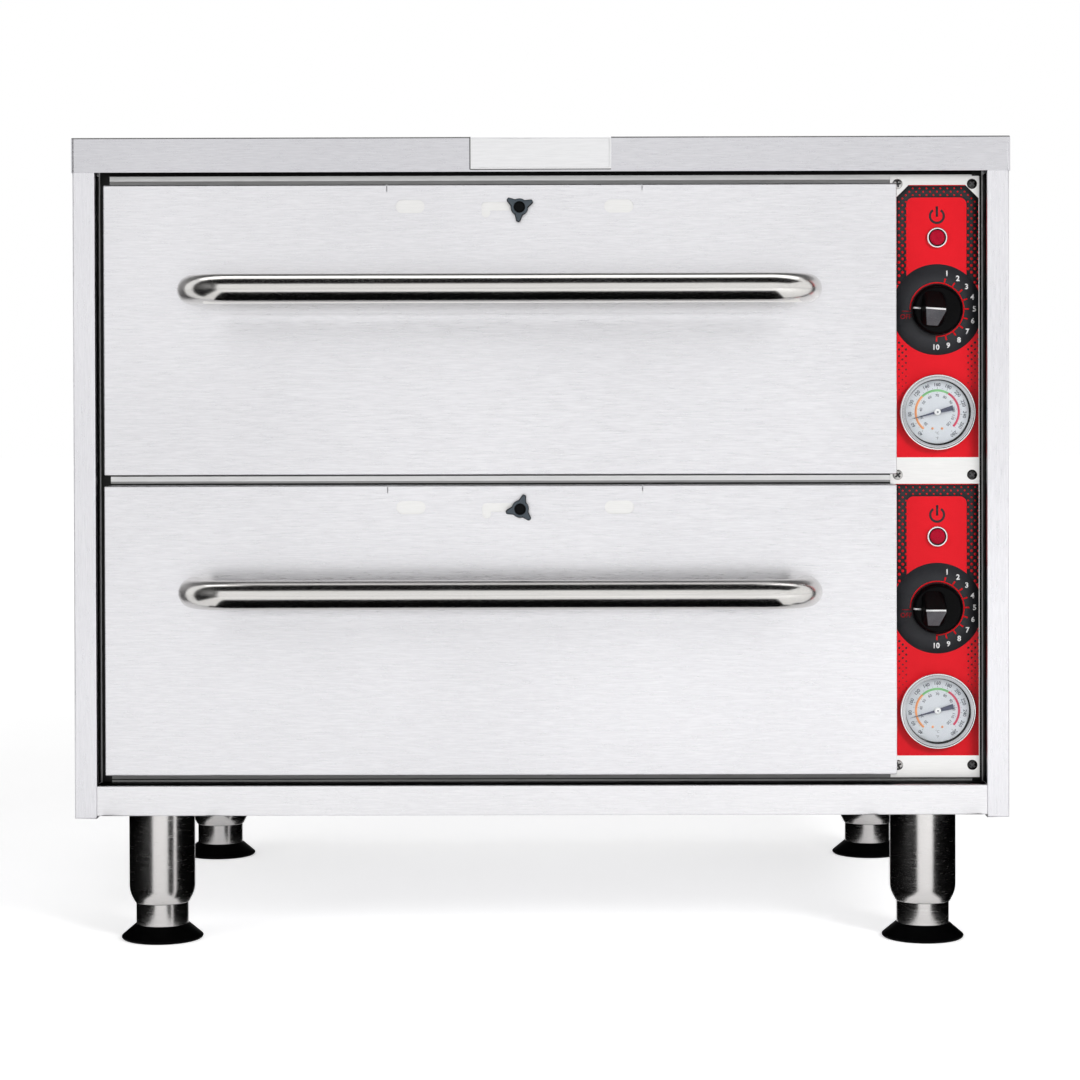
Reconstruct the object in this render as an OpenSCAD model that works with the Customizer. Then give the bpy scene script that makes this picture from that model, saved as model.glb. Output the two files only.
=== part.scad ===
// Two-drawer free-standing food warmer on adjustable legs, in millimetres.
// X runs to the right, the front faces -Y, Z is up, and the origin is on the floor under the middle.
// Depths named with v run backwards from the front face of the cabinet's stiles.

/* [Food pan] */
// Width of the pan over its rim
pan_w = 530; // [470:1:560]
// Depth of the pan over its rim, front to back
pan_d = 325; // [280:1:360]
// Height of the pan
pan_h = 150; // [120:1:170]
// Width of the pan's rim on each side
pan_lip = 14; // [8:0.5:18]
// Radius of the pan's upright corners
pan_corner = 32; // [16:1:45]
// Wall of the pan
pan_wall = 1; // [0.8:0.1:1.5]

/* [Cabinet] */
// Thickness of the sheet steel
sheet = 1.2; // [0.9:0.1:1.5]
// Height of the top cover's rim
lid_h = 28; // [22:0.5:34]
// Width of a side panel's front stile
stile_w = 18; // [14:0.5:22]
// Height of the bottom rail
rail_h = 24.5; // [20:0.5:30]
// How far the bottom rail sits above the side panels' lower edge
rail_lift = 2; // [1:0.5:4]
// Depth of the front frame behind the stiles
frame_set = 21; // [20.5:0.1:24]
// Width of the flange that carries the back panel
back_flange = 15; // [12:0.5:18]
// Insulation behind the cavity
back_batt = 40; // [30:1:50]
// Insulation between the cavity and the control space
side_batt = 6; // [4:0.5:10]
// Length of the nameplate
plate_w = 114; // [90:1:130]
// Height of the nameplate
plate_h = 26.5; // [18:0.5:27.5]
// Thickness of the nameplate
plate_t = 0.8; // [0.5:0.1:1.2]

/* [Drawer] */
// Depth of a drawer front
drawer_d = 18; // [16:0.5:19]
// How far a drawer front laps the frame on each edge
lap = 14; // [12:0.5:16]
// Room between the pan's rim and the carriage's side
pan_side = 26.3; // [20:0.1:32]
// Height left under the pan for the heating element
heat_space = 28; // [26:0.5:36]
// Height left above the pan
head_space = 28; // [20:0.5:36]
// Gap between the left stile and the drawer fronts
side_gap = 6.6; // [4:0.1:9]
// Gap between the bottom rail and the lower drawer
low_gap = 8; // [7.5:0.1:11]
// Gap between the two drawers
mid_gap = 8.5; // [7.5:0.1:11]
// Gap between the upper drawer and the top cover
top_gap = 10; // [7:0.1:13]
// Diameter of the round bumpers
bumper_d = 14; // [10:0.5:14]
// How far the bumpers show below the drawer fronts
bumper_show = 1.5; // [0.5:0.1:3]
// Outer bumpers' distance from the drawer's sides
bumper_in = 16.5; // [14:0.5:60]

/* [Slides] */
// Diameter of the slide rollers
wheel_d = 22; // [18:0.5:24]
// Width of the slide rollers
wheel_w = 7.7; // [7:0.1:8]
// Room between the cavity wall and the carriage for a slide
slide_space = 13; // [12.8:0.1:15]
// Diameter of the roller pins
pin_d = 6; // [4:0.5:7]
// Running clearance between a pin and its bore, on the radius
pin_play = 0.05; // [0.03:0.01:0.1]
// Gap kept between pieces that slide past each other
play = 0.3; // [0.25:0.05:0.4]
// Height of the slides above the cavity floor
rail_rise = 70; // [50:1:80]
// Front roller's axis behind the frame
wheel_set = 15; // [14:0.5:20]
// Gap between the rollers with the drawer fully open
wheel_gap = 4; // [2:0.5:8]
// How far the open drawer carries the pan past the cabinet front
pull_past = 20; // [10:1:30]
// Room behind the closed carriage
rear_space = 58.4; // [40:0.1:70]

/* [Handle] */
// Overall width of a handle
handle_w = 516; // [420:1:540]
// Diameter of the handle tube
handle_d = 23.5; // [19:0.5:26]
// Wall of the handle tube
handle_wall = 1.5; // [1.2:0.1:2.5]
// Distance of the handle's axis from the drawer front
handle_out = 45; // [40:0.5:52]
// Bend radius on the tube's axis
handle_bend = 33; // [28:0.5:36]
// Height of the handle's axis below the drawer's top edge
handle_drop = 85; // [65:0.5:100]
// Diameter of the handle bolts
bolt_d = 6; // [5:0.5:8]

/* [Vents] */
// Width of a vent slot
vent_w = 23.5; // [18:0.5:26]
// Height of a vent slot
vent_h = 10.7; // [8:0.1:12]
// Middle of the vent slots below the drawer's top edge
vent_drop = 17.8; // [16.5:0.1:22]
// Left vent slot's distance from the middle of the drawer
vent_left = 72; // [65:0.5:90]
// Right vent slot's distance from the middle of the drawer
vent_right = 96; // [80:0.5:110]
// Travel of the vent slide
vent_travel = 27; // [25:0.5:30]
// Height of the vent slide's plate
slide_h = 26; // [22:0.5:27]
// Thickness of the vent slide's plate
slide_t = 1.2; // [0.8:0.1:1.5]
// Vent knob's distance from the middle of the drawer
knob_x = 16; // [10:0.5:24]
// Vent knob's drop below the middle of its slot
knob_sag = 1.1; // [0:0.1:1.1]
// Width of the knob's slot
slot_w = 7; // [7:0.1:9]
// Length of the knob slot's end notches
slot_leg = 5.5; // [2:0.5:7]
// Radius over the vent knob's lobes
knob_tip_r = 11.8; // [10:0.1:13]
// Radius of the vent knob's hub
knob_hub_r = 7; // [5.5:0.1:7.5]
// Thickness of the vent knob
knob_h = 8; // [6:0.5:11]
// Diameter of the vent knob's stud
stud_d = 4; // [3:0.5:4]

/* [Controls] */
// Thickness of a printed label
label_t = 0.3; // [0.2:0.05:0.5]
// Diameter over a thermometer's bezel
gauge_d = 62; // [56:0.5:66]
// Label margin beside the thermometer
label_margin = 2.75; // [1:0.05:4]
// Chamfer on the upper label's top corners
label_chamfer = 10.8; // [6:0.1:12]
// Label's lower edge above the drawer's lower edge
label_lift = 12.7; // [12:0.1:16]
// How much shorter than a drawer front a label is
label_cut = 13; // [10:0.1:16]
// Control panel's margin left of the label
panel_left = 4.2; // [3.8:0.1:6]
// Control panel's margin right of the label
panel_right = 0.7; // [0.5:0.1:2]
// Gap between the control panel and the right stile
panel_gap = 3; // [2:0.1:5]
// How far the control panel runs behind the drawer fronts
panel_tuck = 3; // [2:0.1:4]
// Control panel's gap to the rail below and the cover above
panel_end = 3; // [2:0.1:4]
// Thermometer's middle above the label's lower edge
gauge_rise = 36.8; // [35.5:0.1:40]
// Dial's middle above the label's lower edge
dial_rise = 119.9; // [105:0.1:130]
// Pilot light's middle below the label's top edge
pilot_drop = 42.7; // [36:0.1:50]
// Diameter of a dial knob
dial_d = 41.2; // [36:0.1:46]
// Height of a dial knob
dial_h = 22; // [18:0.5:26]
// Diameter of a thermostat's shaft
shaft_d = 6; // [5:0.5:7]
// Diameter of a pilot light's bezel
pilot_d = 16.8; // [15:0.1:20]
// Diameter of a pilot light's lens
lens_d = 13.4; // [11:0.1:13.8]
// Diameter of the panel screws' heads
head_d = 8.2; // [7:0.1:9]

/* [Legs] */
// Diameter of a leg tube
leg_d = 54; // [52:0.5:60]
// Length of a leg tube
leg_l = 78.5; // [70:0.5:110]
// Wall of a leg tube
leg_wall = 1.5; // [1.2:0.1:2]
// Diameter of a foot's insert
insert_d = 43; // [38:0.5:44]
// Length of insert that shows
insert_show = 18; // [10:0.5:22]
// Diameter of a foot
foot_d = 68; // [60:0.5:76]
// Height of a foot
foot_h = 12.5; // [10:0.5:20]
// How far a foot screws out
foot_travel = 25; // [15:1:26]
// Leg's axis from the cabinet's side
leg_in_x = 63; // [50:1:90]
// Leg's axis from the cabinet's front and back
leg_in_y = 55; // [45:1:90]

/* [Back] */
// Radius of the cord gland's bore
gland_r = 4.5; // [3.5:0.1:5.5]
// How far the cord gland stands out
gland_out = 14; // [12:0.5:18]
// Cord gland's height above the base
gland_rise = 45; // [40:1:120]

/* [Hidden] */
$fn = 64;
// Overshoot of a cut past the face it opens
over = 1;
upper = 1;
lower = 0;

// Slides, pulled out until the pan clears the cabinet
travel = pan_d + pull_past;
wheel_r = wheel_d / 2;
pin_r = pin_d / 2;
frame_back = frame_set + sheet;
front_wheel_v = frame_back + wheel_set;
rear_wheel_v = front_wheel_v + wheel_d + wheel_gap + travel;

// Drawer, sized round the pan
drawer_w = pan_w + 2 * (pan_side + sheet + slide_space + lap);
drawer_h = pan_h + heat_space + head_space + 2 * lap;
label_w = gauge_d + 2 * label_margin;
panel_w = label_w + panel_left + panel_right;
body_w = 2 * stile_w + side_gap + drawer_w - panel_tuck + panel_w + panel_gap;
open_x = body_w / 2 - stile_w;
inner_x = body_w / 2 - sheet;
drawer_x0 = -open_x + side_gap;
drawer_x1 = drawer_x0 + drawer_w;
drawer_cx = drawer_x0 + drawer_w / 2;
bumper_x = drawer_w / 2 - bumper_in;
cav_x0 = drawer_x0 + lap;
cav_x1 = drawer_x1 - lap;
bulkhead_x = cav_x1 + sheet + side_batt;
batt_x0 = cav_x0;
batt_x1 = cav_x1;

// Heights from the floor
base_z = foot_h + insert_show + leg_l;
floor_top = base_z + sheet;
skirt_z = base_z - rail_lift;
rail_top = base_z + rail_h;
low_z = rail_top + low_gap;
high_z = low_z + drawer_h + mid_gap;
lid_z = high_z + drawer_h + top_gap;
total_h = lid_z + lid_h;
roof_z = total_h - sheet;
rows = [low_z, high_z];
liner_z0 = low_z + lap - sheet;
liner_z1 = high_z + drawer_h - lap + sheet;
liner_seam = 0.2;
liner_wall_z0 = liner_z0 + sheet + liner_seam;
liner_wall_z1 = liner_z1 - sheet - liner_seam;

// Depths
liner_back = rear_wheel_v + wheel_r + rear_space;
back_in = liner_back + sheet + back_batt;
body_d = back_in + sheet;
flange_v = back_in - sheet;
handle_r = handle_d / 2;
front_reach = handle_out + handle_r;
front_y = -(front_reach + body_d + gland_out) / 2 + front_reach;

// Places inside one drawer row, measured from the drawer's lower edge
deck_top = lap + heat_space + pan_h - pan_wall;
rail_floor = lap + rail_rise;
wheel_z = rail_floor + play + wheel_r;
runner_z = wheel_z + wheel_r + play;
web_under = 4;
web_foot = rail_floor - web_under;
collar_t = 1;
wheel_u0 = sheet + collar_t + play;
wheel_u1 = wheel_u0 + wheel_w;
shoulder = 2;
pin_head = 1.2;
rail_short = 8;
rail_end = liner_back - rail_short;
web_x0 = cav_x0 + slide_space;
web_x1 = cav_x1 - slide_space;
pan_in_w = pan_w - 2 * pan_lip;
pan_in_d = pan_d - 2 * pan_lip;
runner_u = 6.2;
lip_u = 5.2;
tray_u = 12;
carriage_v = drawer_d + sheet;
web_tail = 5;
carriage_end = rear_wheel_v + wheel_r + web_tail;
pan_set = 4;
pan_v = carriage_v + pan_set;
pan_play = 1;
heater_r = 4;
heater_rise = 12;
heater_z = lap + heater_rise;
heater_spread = 180;
heater_collar = 6;
heater_v = pan_v + pan_d / 2;
heater_end = 130;
heater_x = cav_x0 + heater_end;

// Vents inside a drawer front
vent_z = drawer_h - vent_drop;
slide_v = sheet + play;
slide_back = slide_v + slide_t;
slide_end = 18;
stud_r = stud_d / 2;
guide_t = 2;
guide_l = 120;
guide_x = drawer_cx + knob_x - guide_l / 2;
guide_back = slide_back + play + sheet;
slit_out = 18.7;
slit_w = 0.6;
slit_l = 6;
lobe_flare = 0.7;
lobe_root = knob_hub_r + lobe_flare;
lobe_tip = 1.7;
knob_dish = 2;
knob_wall = 2;
nut_h = 4;
stud_l = slide_back + 2 * play + nut_h;
upper_knob_turn = 25;
lower_knob_turn = 73;
bolt_r = bolt_d / 2;
bolt_x = handle_w / 2 - handle_r;
handle_leg = handle_out - handle_bend;
plug_l = 8;
bolt_head = 4;
hole_play = 0.2;

// Control panel
panel_v = frame_set - sheet;
panel_x1 = open_x - panel_gap;
panel_x0 = panel_x1 - panel_w;
panel_z0 = rail_top + panel_end;
panel_z1 = lid_z - panel_end;
control_x = panel_x1 - panel_right - label_w / 2;
label_h = drawer_h - label_cut;
label_top = label_lift + label_h;
gauge_r = gauge_d / 2;
bezel_lap = 3;
barrel_r = gauge_r - bezel_lap;
barrel_depth = 16;
cup_r = barrel_r - sheet;
bezel_h = 7;
bezel_lip = 1;
bezel_edge = 1.5;
lip_over = 0.6;
lip_r = cup_r - lip_over;
dial_seat = label_t;
dial_t = 1;
glass_t = 1.5;
pivot_r = 1;
bezel_top = label_t + bezel_h;
boss_r = 4;
glass_seat = bezel_top - bezel_lip - glass_t;
needle_gap = 1;
needle_seat = dial_seat + dial_t + needle_gap;
needle_t = 0.8;
pivot_over = 0.6;
pivot_top = needle_seat + needle_t + pivot_over;
needle_rest = 195;
needle_hub_r = 2.5;
needle_short = 3;
needle_l = cup_r - needle_short;
needle_tail = 13.2;
needle_half = 1;
tail_half = 2.15;
bush_out = 2;
dial_gap = 0.5;
dial_base = label_t + bush_out + dial_gap;
dial_cap = 5;
skirt_h = 7;
skirt_taper = 3;
grip_l = 26;
grip_w = 13;
thermostat_w = 36;
thermostat_h = 44;
thermostat_d = 26;
bush_r = 5.5;
pilot_barrel_r = 5.5;
pilot_cup = 1.8;
pilot_rim = 3;
pilot_edge = 1;
pilot_depth = 18;
lens_h = 1.6;
screw_r = 2;
head_h = 1.5;
screw_side = 6;
screw_down = 6.5;
screw_up = 10;
screw_top = panel_z1 - screw_down;
screw_low = panel_z0 + screw_up;
panel_screw_spots = [
    for (x = [panel_x0 + screw_side, panel_x1 - screw_side])
        for (z = [screw_low, (screw_low + screw_top) / 2, screw_top]) [x, z]
];
window_play = 2.5;
window_w = 2 * (barrel_r + window_play);
window_lift = 16;
window_cut = 12;

// Legs, feet and small screws
leg_r = leg_d / 2;
insert_r = insert_d / 2;
guide_r = insert_r + pin_play;
leg_round = 5;
leg_cap = 3;
foot_edge = 2;
foot_collar = 1;
leg_z = foot_h + insert_show;
insert_grip = 15;
insert_l = insert_show + 2 * leg_round + foot_travel + insert_grip;
leg_x = body_w / 2 - leg_in_x;
leg_vs = [leg_in_y, body_d - leg_in_y];
// Shares of a screw head's radius: top of the taper, recess length and width
head_taper = 0.8;
recess_l = 1.1;
recess_w = 0.28;
body_head_r = 2.9;
body_head_h = 1.3;
body_screw_r = 1.6;
side_screw_rise = 14;
side_screw_in = 40;
side_screw_z = base_z + side_screw_rise;
side_screw_vs = [side_screw_in, body_d / 2, body_d - side_screw_in];
pan_flange = 20;
back_screw_x = body_w / 2 - back_flange / 2 - sheet;
back_screw_in = 30;
back_screw_steps = 3;
back_screw_pitch = (roof_z - skirt_z - lid_h - 2 * back_screw_in) / back_screw_steps;
back_screw_zs = [for (i = [0 : back_screw_steps]) skirt_z + back_screw_in + i * back_screw_pitch];
gland_x = (bulkhead_x + sheet + inner_x) / 2;
gland_z = base_z + gland_rise;
gland_wall = 4;
gland_over = 5;
gland_nose = 3;
gland_barrel_r = gland_r + gland_wall;
gland_flange = 4;
gland_nut = 5;
gland_tail = 8;

// Box between two corners given as x, v and z
module block(x0, x1, v0, v1, z0, z1)
    translate([x0, front_y + v0, z0])
        cube([x1 - x0, v1 - v0, z1 - z0]);

// Rectangle in the front view
module span(x0, x1, z0, z1)
    translate([x0, z0])
        square([x1 - x0, z1 - z0]);

// Front-view outline made into a plate from depth v0 to v1
module plate(v0, v1)
    translate([0, front_y + v1, 0])
        rotate([90, 0, 0])
            linear_extrude(v1 - v0)
                children();

// Local Z points out of the front, from the point x, z at depth v
module facing(x, v, z)
    translate([x, front_y + v, z])
        rotate([90, 0, 0])
            children();

// Children raised to one drawer row
module at_row(row)
    translate([0, 0, rows[row]])
        children();

// Slot outline with round ends, lying along X
module stadium(w, h) {
    square([w - h, h], center = true);
    for (s = [-1, 1])
        translate([s * (w - h) / 2, 0])
            circle(h / 2);
}

// Rectangle with round corners
module round_rect(w, d, r) {
    square([w - 2 * r, d], center = true);
    square([w, d - 2 * r], center = true);
    for (sx = [-1, 1], sy = [-1, 1])
        translate([sx * (w / 2 - r), sy * (d / 2 - r)])
            circle(r);
}

// Children on both side walls of the cavity, with X measured from the wall inwards
module both_walls() {
    translate([cav_x0, 0, 0])
        children();
    translate([cav_x1, 0, 0])
        mirror([1, 0, 0])
            children();
}

// Round bar along X from u0 to u1, at depth v and height z
module cross_bar(r, u0, u1, v, z)
    translate([u0, front_y + v, z])
        rotate([0, 90, 0])
            cylinder(r = r, h = u1 - u0);

// Cross-recess screw with its head on local Z = 0 and its shank below
module cross_screw(head_r, rise, shank_r, shank_l) {
    difference() {
        cylinder(r1 = head_r, r2 = head_taper * head_r, h = rise);
        for (turn = [0, 90])
            rotate(turn)
                translate([0, 0, rise])
                    cube([recess_l * head_r, recess_w * head_r, rise], center = true);
    }
    translate([0, 0, -shank_l])
        cylinder(r = shank_r, h = shank_l);
}

// Children at each screw of the two side panels, with local Z out of the cabinet
module side_screw_spots()
    for (side = [-1, 1], v = side_screw_vs)
        translate([side * body_w / 2, front_y + v, side_screw_z])
            rotate([0, 90 * side, 0])
                children();

// Children at each screw of the back panel, with local Z out of the cabinet
module back_screw_spots()
    for (side = [-1, 1], z = back_screw_zs)
        translate([side * back_screw_x, front_y + body_d, z])
            rotate([-90, 0, 0])
                children();

// Shank holes of the side and back screws
module body_screw_holes() {
    side_screw_spots()
        translate([0, 0, -3 * sheet])
            cylinder(r = body_screw_r + hole_play, h = 6 * sheet);
    back_screw_spots()
        translate([0, 0, -3 * sheet])
            cylinder(r = body_screw_r + hole_play, h = 6 * sheet);
}

// Side panel in one folded sheet: skin, stile, stile return and back flange
module side_panel()
    translate([0, 0, skirt_z])
        linear_extrude(roof_z - skirt_z)
            translate([-body_w / 2, front_y]) {
                square([sheet, back_in]);
                square([stile_w, sheet]);
                translate([stile_w - sheet, 0])
                    square([sheet, frame_set]);
                translate([0, flange_v])
                    square([back_flange, sheet]);
            }

module left_side_panel()
    color("gainsboro")
        difference() {
            side_panel();
            body_screw_holes();
        }

module right_side_panel()
    color("gainsboro")
        difference() {
            mirror([1, 0, 0])
                side_panel();
            body_screw_holes();
        }

// Inverted tray over the side panels and the back panel
module top_cover()
    color("silver")
        difference() {
            block(-body_w / 2 - sheet, body_w / 2 + sheet, -sheet, body_d + sheet, lid_z, total_h);
            block(-body_w / 2, body_w / 2, 0, body_d, lid_z - over, roof_z);
        }

module back_panel()
    color("silver")
        difference() {
            block(-body_w / 2, body_w / 2, back_in, body_d, skirt_z, roof_z);
            body_screw_holes();
            translate([gland_x, front_y + body_d + over, gland_z])
                rotate([90, 0, 0])
                    cylinder(r = gland_barrel_r + hole_play, h = sheet + 2 * over);
        }

// Floor with the bottom rail folded up in front and a flange at each side
module base_pan()
    color("gainsboro")
        difference() {
            union() {
                block(-inner_x, inner_x, frame_set, flange_v, base_z, floor_top);
                block(-open_x, open_x, 0, frame_set, base_z, floor_top);
                block(-open_x, open_x, 0, sheet, base_z, rail_top);
                block(-open_x, open_x, 0, frame_set, rail_top - sheet, rail_top);
                block(-inner_x, -inner_x + sheet, frame_back, flange_v, base_z, base_z + pan_flange);
                block(inner_x - sheet, inner_x, frame_back, flange_v, base_z, base_z + pan_flange);
            }
            body_screw_holes();
        }

// Recessed ladder with a window for each drawer and for each set of controls
module front_frame()
    color("lightgray")
        plate(frame_set, frame_back)
            difference() {
                span(-inner_x, inner_x, floor_top, roof_z);
                for (z = rows) {
                    span(cav_x0, cav_x1, z + lap, z + drawer_h - lap);
                    span(control_x - window_w / 2, control_x + window_w / 2,
                         z + window_lift, z + drawer_h - window_cut);
                }
                panel_screw_holes();
            }

// Floor, roof, side and back sheets round both drawer spaces, with a fine seam between them
module cavity_liner()
    color("lightgray") {
        for (z = [liner_z0, liner_z1 - sheet])
            block(cav_x0 - sheet, cav_x1 + sheet, frame_back, liner_back + sheet, z, z + sheet);
        for (x = [cav_x0 - sheet, cav_x1])
            block(x, x + sheet, frame_back, liner_back + sheet, liner_wall_z0, liner_wall_z1);
        block(cav_x0 + liner_seam, cav_x1 - liner_seam, liner_back, liner_back + sheet,
              liner_wall_z0, liner_wall_z1);
    }

// Folded shelf between the two drawer spaces
module cavity_shelf()
    color("lightgray")
        difference() {
            block(cav_x0, cav_x1, frame_back, liner_back, low_z + drawer_h - lap, high_z + lap);
            block(cav_x0 - over, cav_x1 + over, frame_back + sheet, liner_back + over,
                  low_z + drawer_h - lap + sheet, high_z + lap - sheet);
        }

module control_bulkhead()
    color("lightgray")
        block(bulkhead_x, bulkhead_x + sheet, frame_back, back_in, floor_top, roof_z);

// Mineral wool on the left, on the right, under, over and behind the cavity
module insulation_batts()
    color("khaki") {
        block(-inner_x + sheet, cav_x0 - sheet, frame_back, flange_v, floor_top, roof_z);
        block(cav_x1 + sheet, bulkhead_x, frame_back, flange_v, floor_top, roof_z);
        block(batt_x0, batt_x1, frame_back, liner_back, floor_top, liner_z0);
        block(batt_x0, batt_x1, frame_back, liner_back, liner_z1, roof_z);
        block(batt_x0, batt_x1, liner_back + sheet, back_in, floor_top, roof_z);
    }

// Blank plate on the front of the top cover
module nameplate()
    color("whitesmoke")
        block(-plate_w / 2, plate_w / 2, -sheet - plate_t, -sheet,
              total_h - plate_h, total_h);

// Holes for the panel screws, in the front view
module panel_screw_holes()
    for (spot = panel_screw_spots)
        translate(spot)
            circle(screw_r + hole_play);

// Holes for the thermometer, the dial's bush and the pilot light of both rows, in the front view
module control_holes()
    for (z = rows) {
        translate([control_x, z + label_lift + gauge_rise])
            circle(barrel_r + hole_play);
        translate([control_x, z + label_lift + dial_rise])
            circle(bush_r + hole_play);
        translate([control_x, z + label_top - pilot_drop])
            circle(pilot_barrel_r + hole_play);
    }

module control_panel()
    color("whitesmoke")
        plate(panel_v, frame_set)
            difference() {
                span(panel_x0, panel_x1, panel_z0, panel_z1);
                control_holes();
                panel_screw_holes();
            }

// Printed label of one row, with its top corners cut off where the chamfer is above 0
module control_label(row, chamfer)
    color("crimson")
        plate(panel_v - label_t, panel_v)
            difference() {
                translate([control_x - label_w / 2, rows[row] + label_lift])
                    difference() {
                        square([label_w, label_h]);
                        if (chamfer > 0)
                            for (x = [0, label_w])
                                translate([x, label_h])
                                    rotate(45)
                                        square(chamfer * sqrt(2), center = true);
                    }
                control_holes();
            }

module panel_screws()
    color("dimgray")
        for (spot = panel_screw_spots)
            facing(spot[0], panel_v, spot[1])
                cross_screw(head_d / 2, head_h, screw_r, 4 * sheet);

module body_screws()
    color("silver") {
        side_screw_spots()
            cross_screw(body_head_r, body_head_h, body_screw_r, 2 * sheet);
        back_screw_spots()
            cross_screw(body_head_r, body_head_h, body_screw_r, 2 * sheet);
    }

// Gland in the back panel, with a bore for the supply cord
module cord_gland()
    color("black")
        translate([gland_x, front_y + body_d, gland_z])
            rotate([-90, 0, 0])
                difference() {
                    union() {
                        cylinder(r = gland_barrel_r + gland_over, h = gland_flange);
                        translate([0, 0, gland_flange])
                            cylinder(r1 = gland_barrel_r + gland_nose, r2 = gland_barrel_r,
                                     h = gland_out - gland_flange);
                        translate([0, 0, -sheet - gland_tail])
                            cylinder(r = gland_barrel_r, h = sheet + gland_tail);
                        translate([0, 0, -sheet - gland_nut])
                            cylinder(r = gland_barrel_r + gland_over, h = gland_nut, $fn = 6);
                    }
                    translate([0, 0, -sheet - gland_tail - over])
                        cylinder(r = gland_r, h = sheet + gland_tail + gland_out + 2 * over);
                }

// Chrome cup of each pilot light, with its barrel through the panel
module pilot_bezels()
    color("silver")
        for (z = rows)
            facing(control_x, panel_v, z + label_top - pilot_drop)
                rotate_extrude()
                    polygon([
                        [0, -pilot_depth], [pilot_barrel_r, -pilot_depth], [pilot_barrel_r, label_t],
                        [pilot_d / 2, label_t], [pilot_d / 2, pilot_rim - pilot_edge],
                        [pilot_d / 2 - pilot_edge, pilot_rim],
                        [lens_d / 2 + play, pilot_rim], [lens_d / 2 + play, pilot_cup], [0, pilot_cup]
                    ]);

module pilot_lenses()
    color("red")
        for (z = rows)
            facing(control_x, panel_v - pilot_cup, z + label_top - pilot_drop) {
                cylinder(d = lens_d, h = lens_h);
                translate([0, 0, lens_h])
                    cylinder(d1 = lens_d, d2 = lens_d - 2 * lens_h, h = lens_h);
            }

// Thermostat behind the panel, with its bush and shaft through it
module thermostats()
    color("darkgray")
        for (z = rows)
            facing(control_x, panel_v, z + label_lift + dial_rise) {
                translate([-thermostat_w / 2, -thermostat_h / 2, -sheet - thermostat_d])
                    cube([thermostat_w, thermostat_h, thermostat_d]);
                translate([0, 0, -sheet])
                    cylinder(r = bush_r, h = sheet + label_t + bush_out);
                cylinder(d = shaft_d, h = dial_base + dial_h - dial_cap - over);
            }

// Thermometer case turned as one cup, with its bezel, its centre boss and the needle's pivot
module thermometer_cases()
    color("silver")
        for (z = rows)
            facing(control_x, panel_v, z + label_lift + gauge_rise)
                rotate_extrude()
                    polygon([
                        [0, -barrel_depth], [barrel_r, -barrel_depth], [barrel_r, label_t],
                        [gauge_r, label_t], [gauge_r, bezel_top - bezel_edge],
                        [gauge_r - bezel_edge, bezel_top], [lip_r, bezel_top],
                        [lip_r, bezel_top - bezel_lip], [cup_r, bezel_top - bezel_lip],
                        [cup_r, -barrel_depth + sheet],
                        [boss_r, -barrel_depth + sheet], [boss_r, dial_seat], [pivot_r, dial_seat],
                        [pivot_r, pivot_top], [0, pivot_top]
                    ]);

module thermometer_dials()
    color("white")
        for (z = rows)
            facing(control_x, panel_v - dial_seat, z + label_lift + gauge_rise)
                linear_extrude(dial_t)
                    difference() {
                        circle(cup_r - play);
                        circle(pivot_r + play);
                    }

module thermometer_glasses()
    color("lightcyan", 0.4)
        for (z = rows)
            facing(control_x, panel_v - glass_seat, z + label_lift + gauge_rise)
                cylinder(r = cup_r - play, h = glass_t);

// Needle of one thermometer, resting a little below level on the left
module needle(row)
    color("black")
        facing(control_x, panel_v - needle_seat, rows[row] + label_lift + gauge_rise)
            rotate(needle_rest)
                linear_extrude(needle_t)
                    difference() {
                        union() {
                            circle(needle_hub_r);
                            polygon([
                                [needle_l, 0], [0, needle_half], [-needle_tail, tail_half],
                                [-needle_tail, -tail_half], [0, -needle_half]
                            ]);
                        }
                        circle(pivot_r + pin_play);
                    }

// Dial knob of one row: round skirt with a raised grip, on the thermostat's shaft
module dial_knob(row)
    color("black")
        facing(control_x, panel_v - dial_base, rows[row] + label_lift + dial_rise)
            difference() {
                union() {
                    cylinder(d1 = dial_d, d2 = dial_d - skirt_taper, h = skirt_h);
                    linear_extrude(dial_h)
                        stadium(grip_l, grip_w);
                }
                translate([0, 0, -over])
                    cylinder(r = shaft_d / 2 + pin_play, h = dial_h - dial_cap + over);
            }

// Hairpin heating element on the floor of each drawer space
module heating_elements()
    color("dimgray")
        for (z = rows)
            translate([0, 0, z + heater_z]) {
                for (v = [heater_v - heater_spread / 2, heater_v + heater_spread / 2]) {
                    cross_bar(heater_r, heater_x, cav_x1, v, 0);
                    cross_bar(2 * heater_r, cav_x1 - heater_collar, cav_x1, v, 0);
                    block(drawer_cx - heater_r, drawer_cx + heater_r, v - heater_r, v + heater_r,
                          -heater_rise, 0);
                }
                translate([heater_x, front_y + heater_v, 0])
                    rotate(90)
                        rotate_extrude(angle = 180)
                            translate([heater_spread / 2, 0])
                                circle(heater_r);
            }

// Channel on each wall for the rear roller, with the front roller's pin
module slide_rails()
    color("silver")
        for (z = rows)
            translate([0, 0, z])
                both_walls() {
                    block(0, sheet, frame_back, rail_end, rail_floor - sheet, runner_z + sheet);
                    block(0, tray_u, frame_back, rail_end, rail_floor - sheet, rail_floor);
                    block(0, lip_u, frame_back, rail_end, runner_z, runner_z + sheet);
                    cross_bar(pin_r + shoulder, 0, wheel_u0 - play, front_wheel_v, wheel_z);
                    cross_bar(pin_r, 0, wheel_u1 + play, front_wheel_v, wheel_z);
                    cross_bar(pin_r + shoulder, wheel_u1 + play, wheel_u1 + play + pin_head,
                              front_wheel_v, wheel_z);
                }

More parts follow.
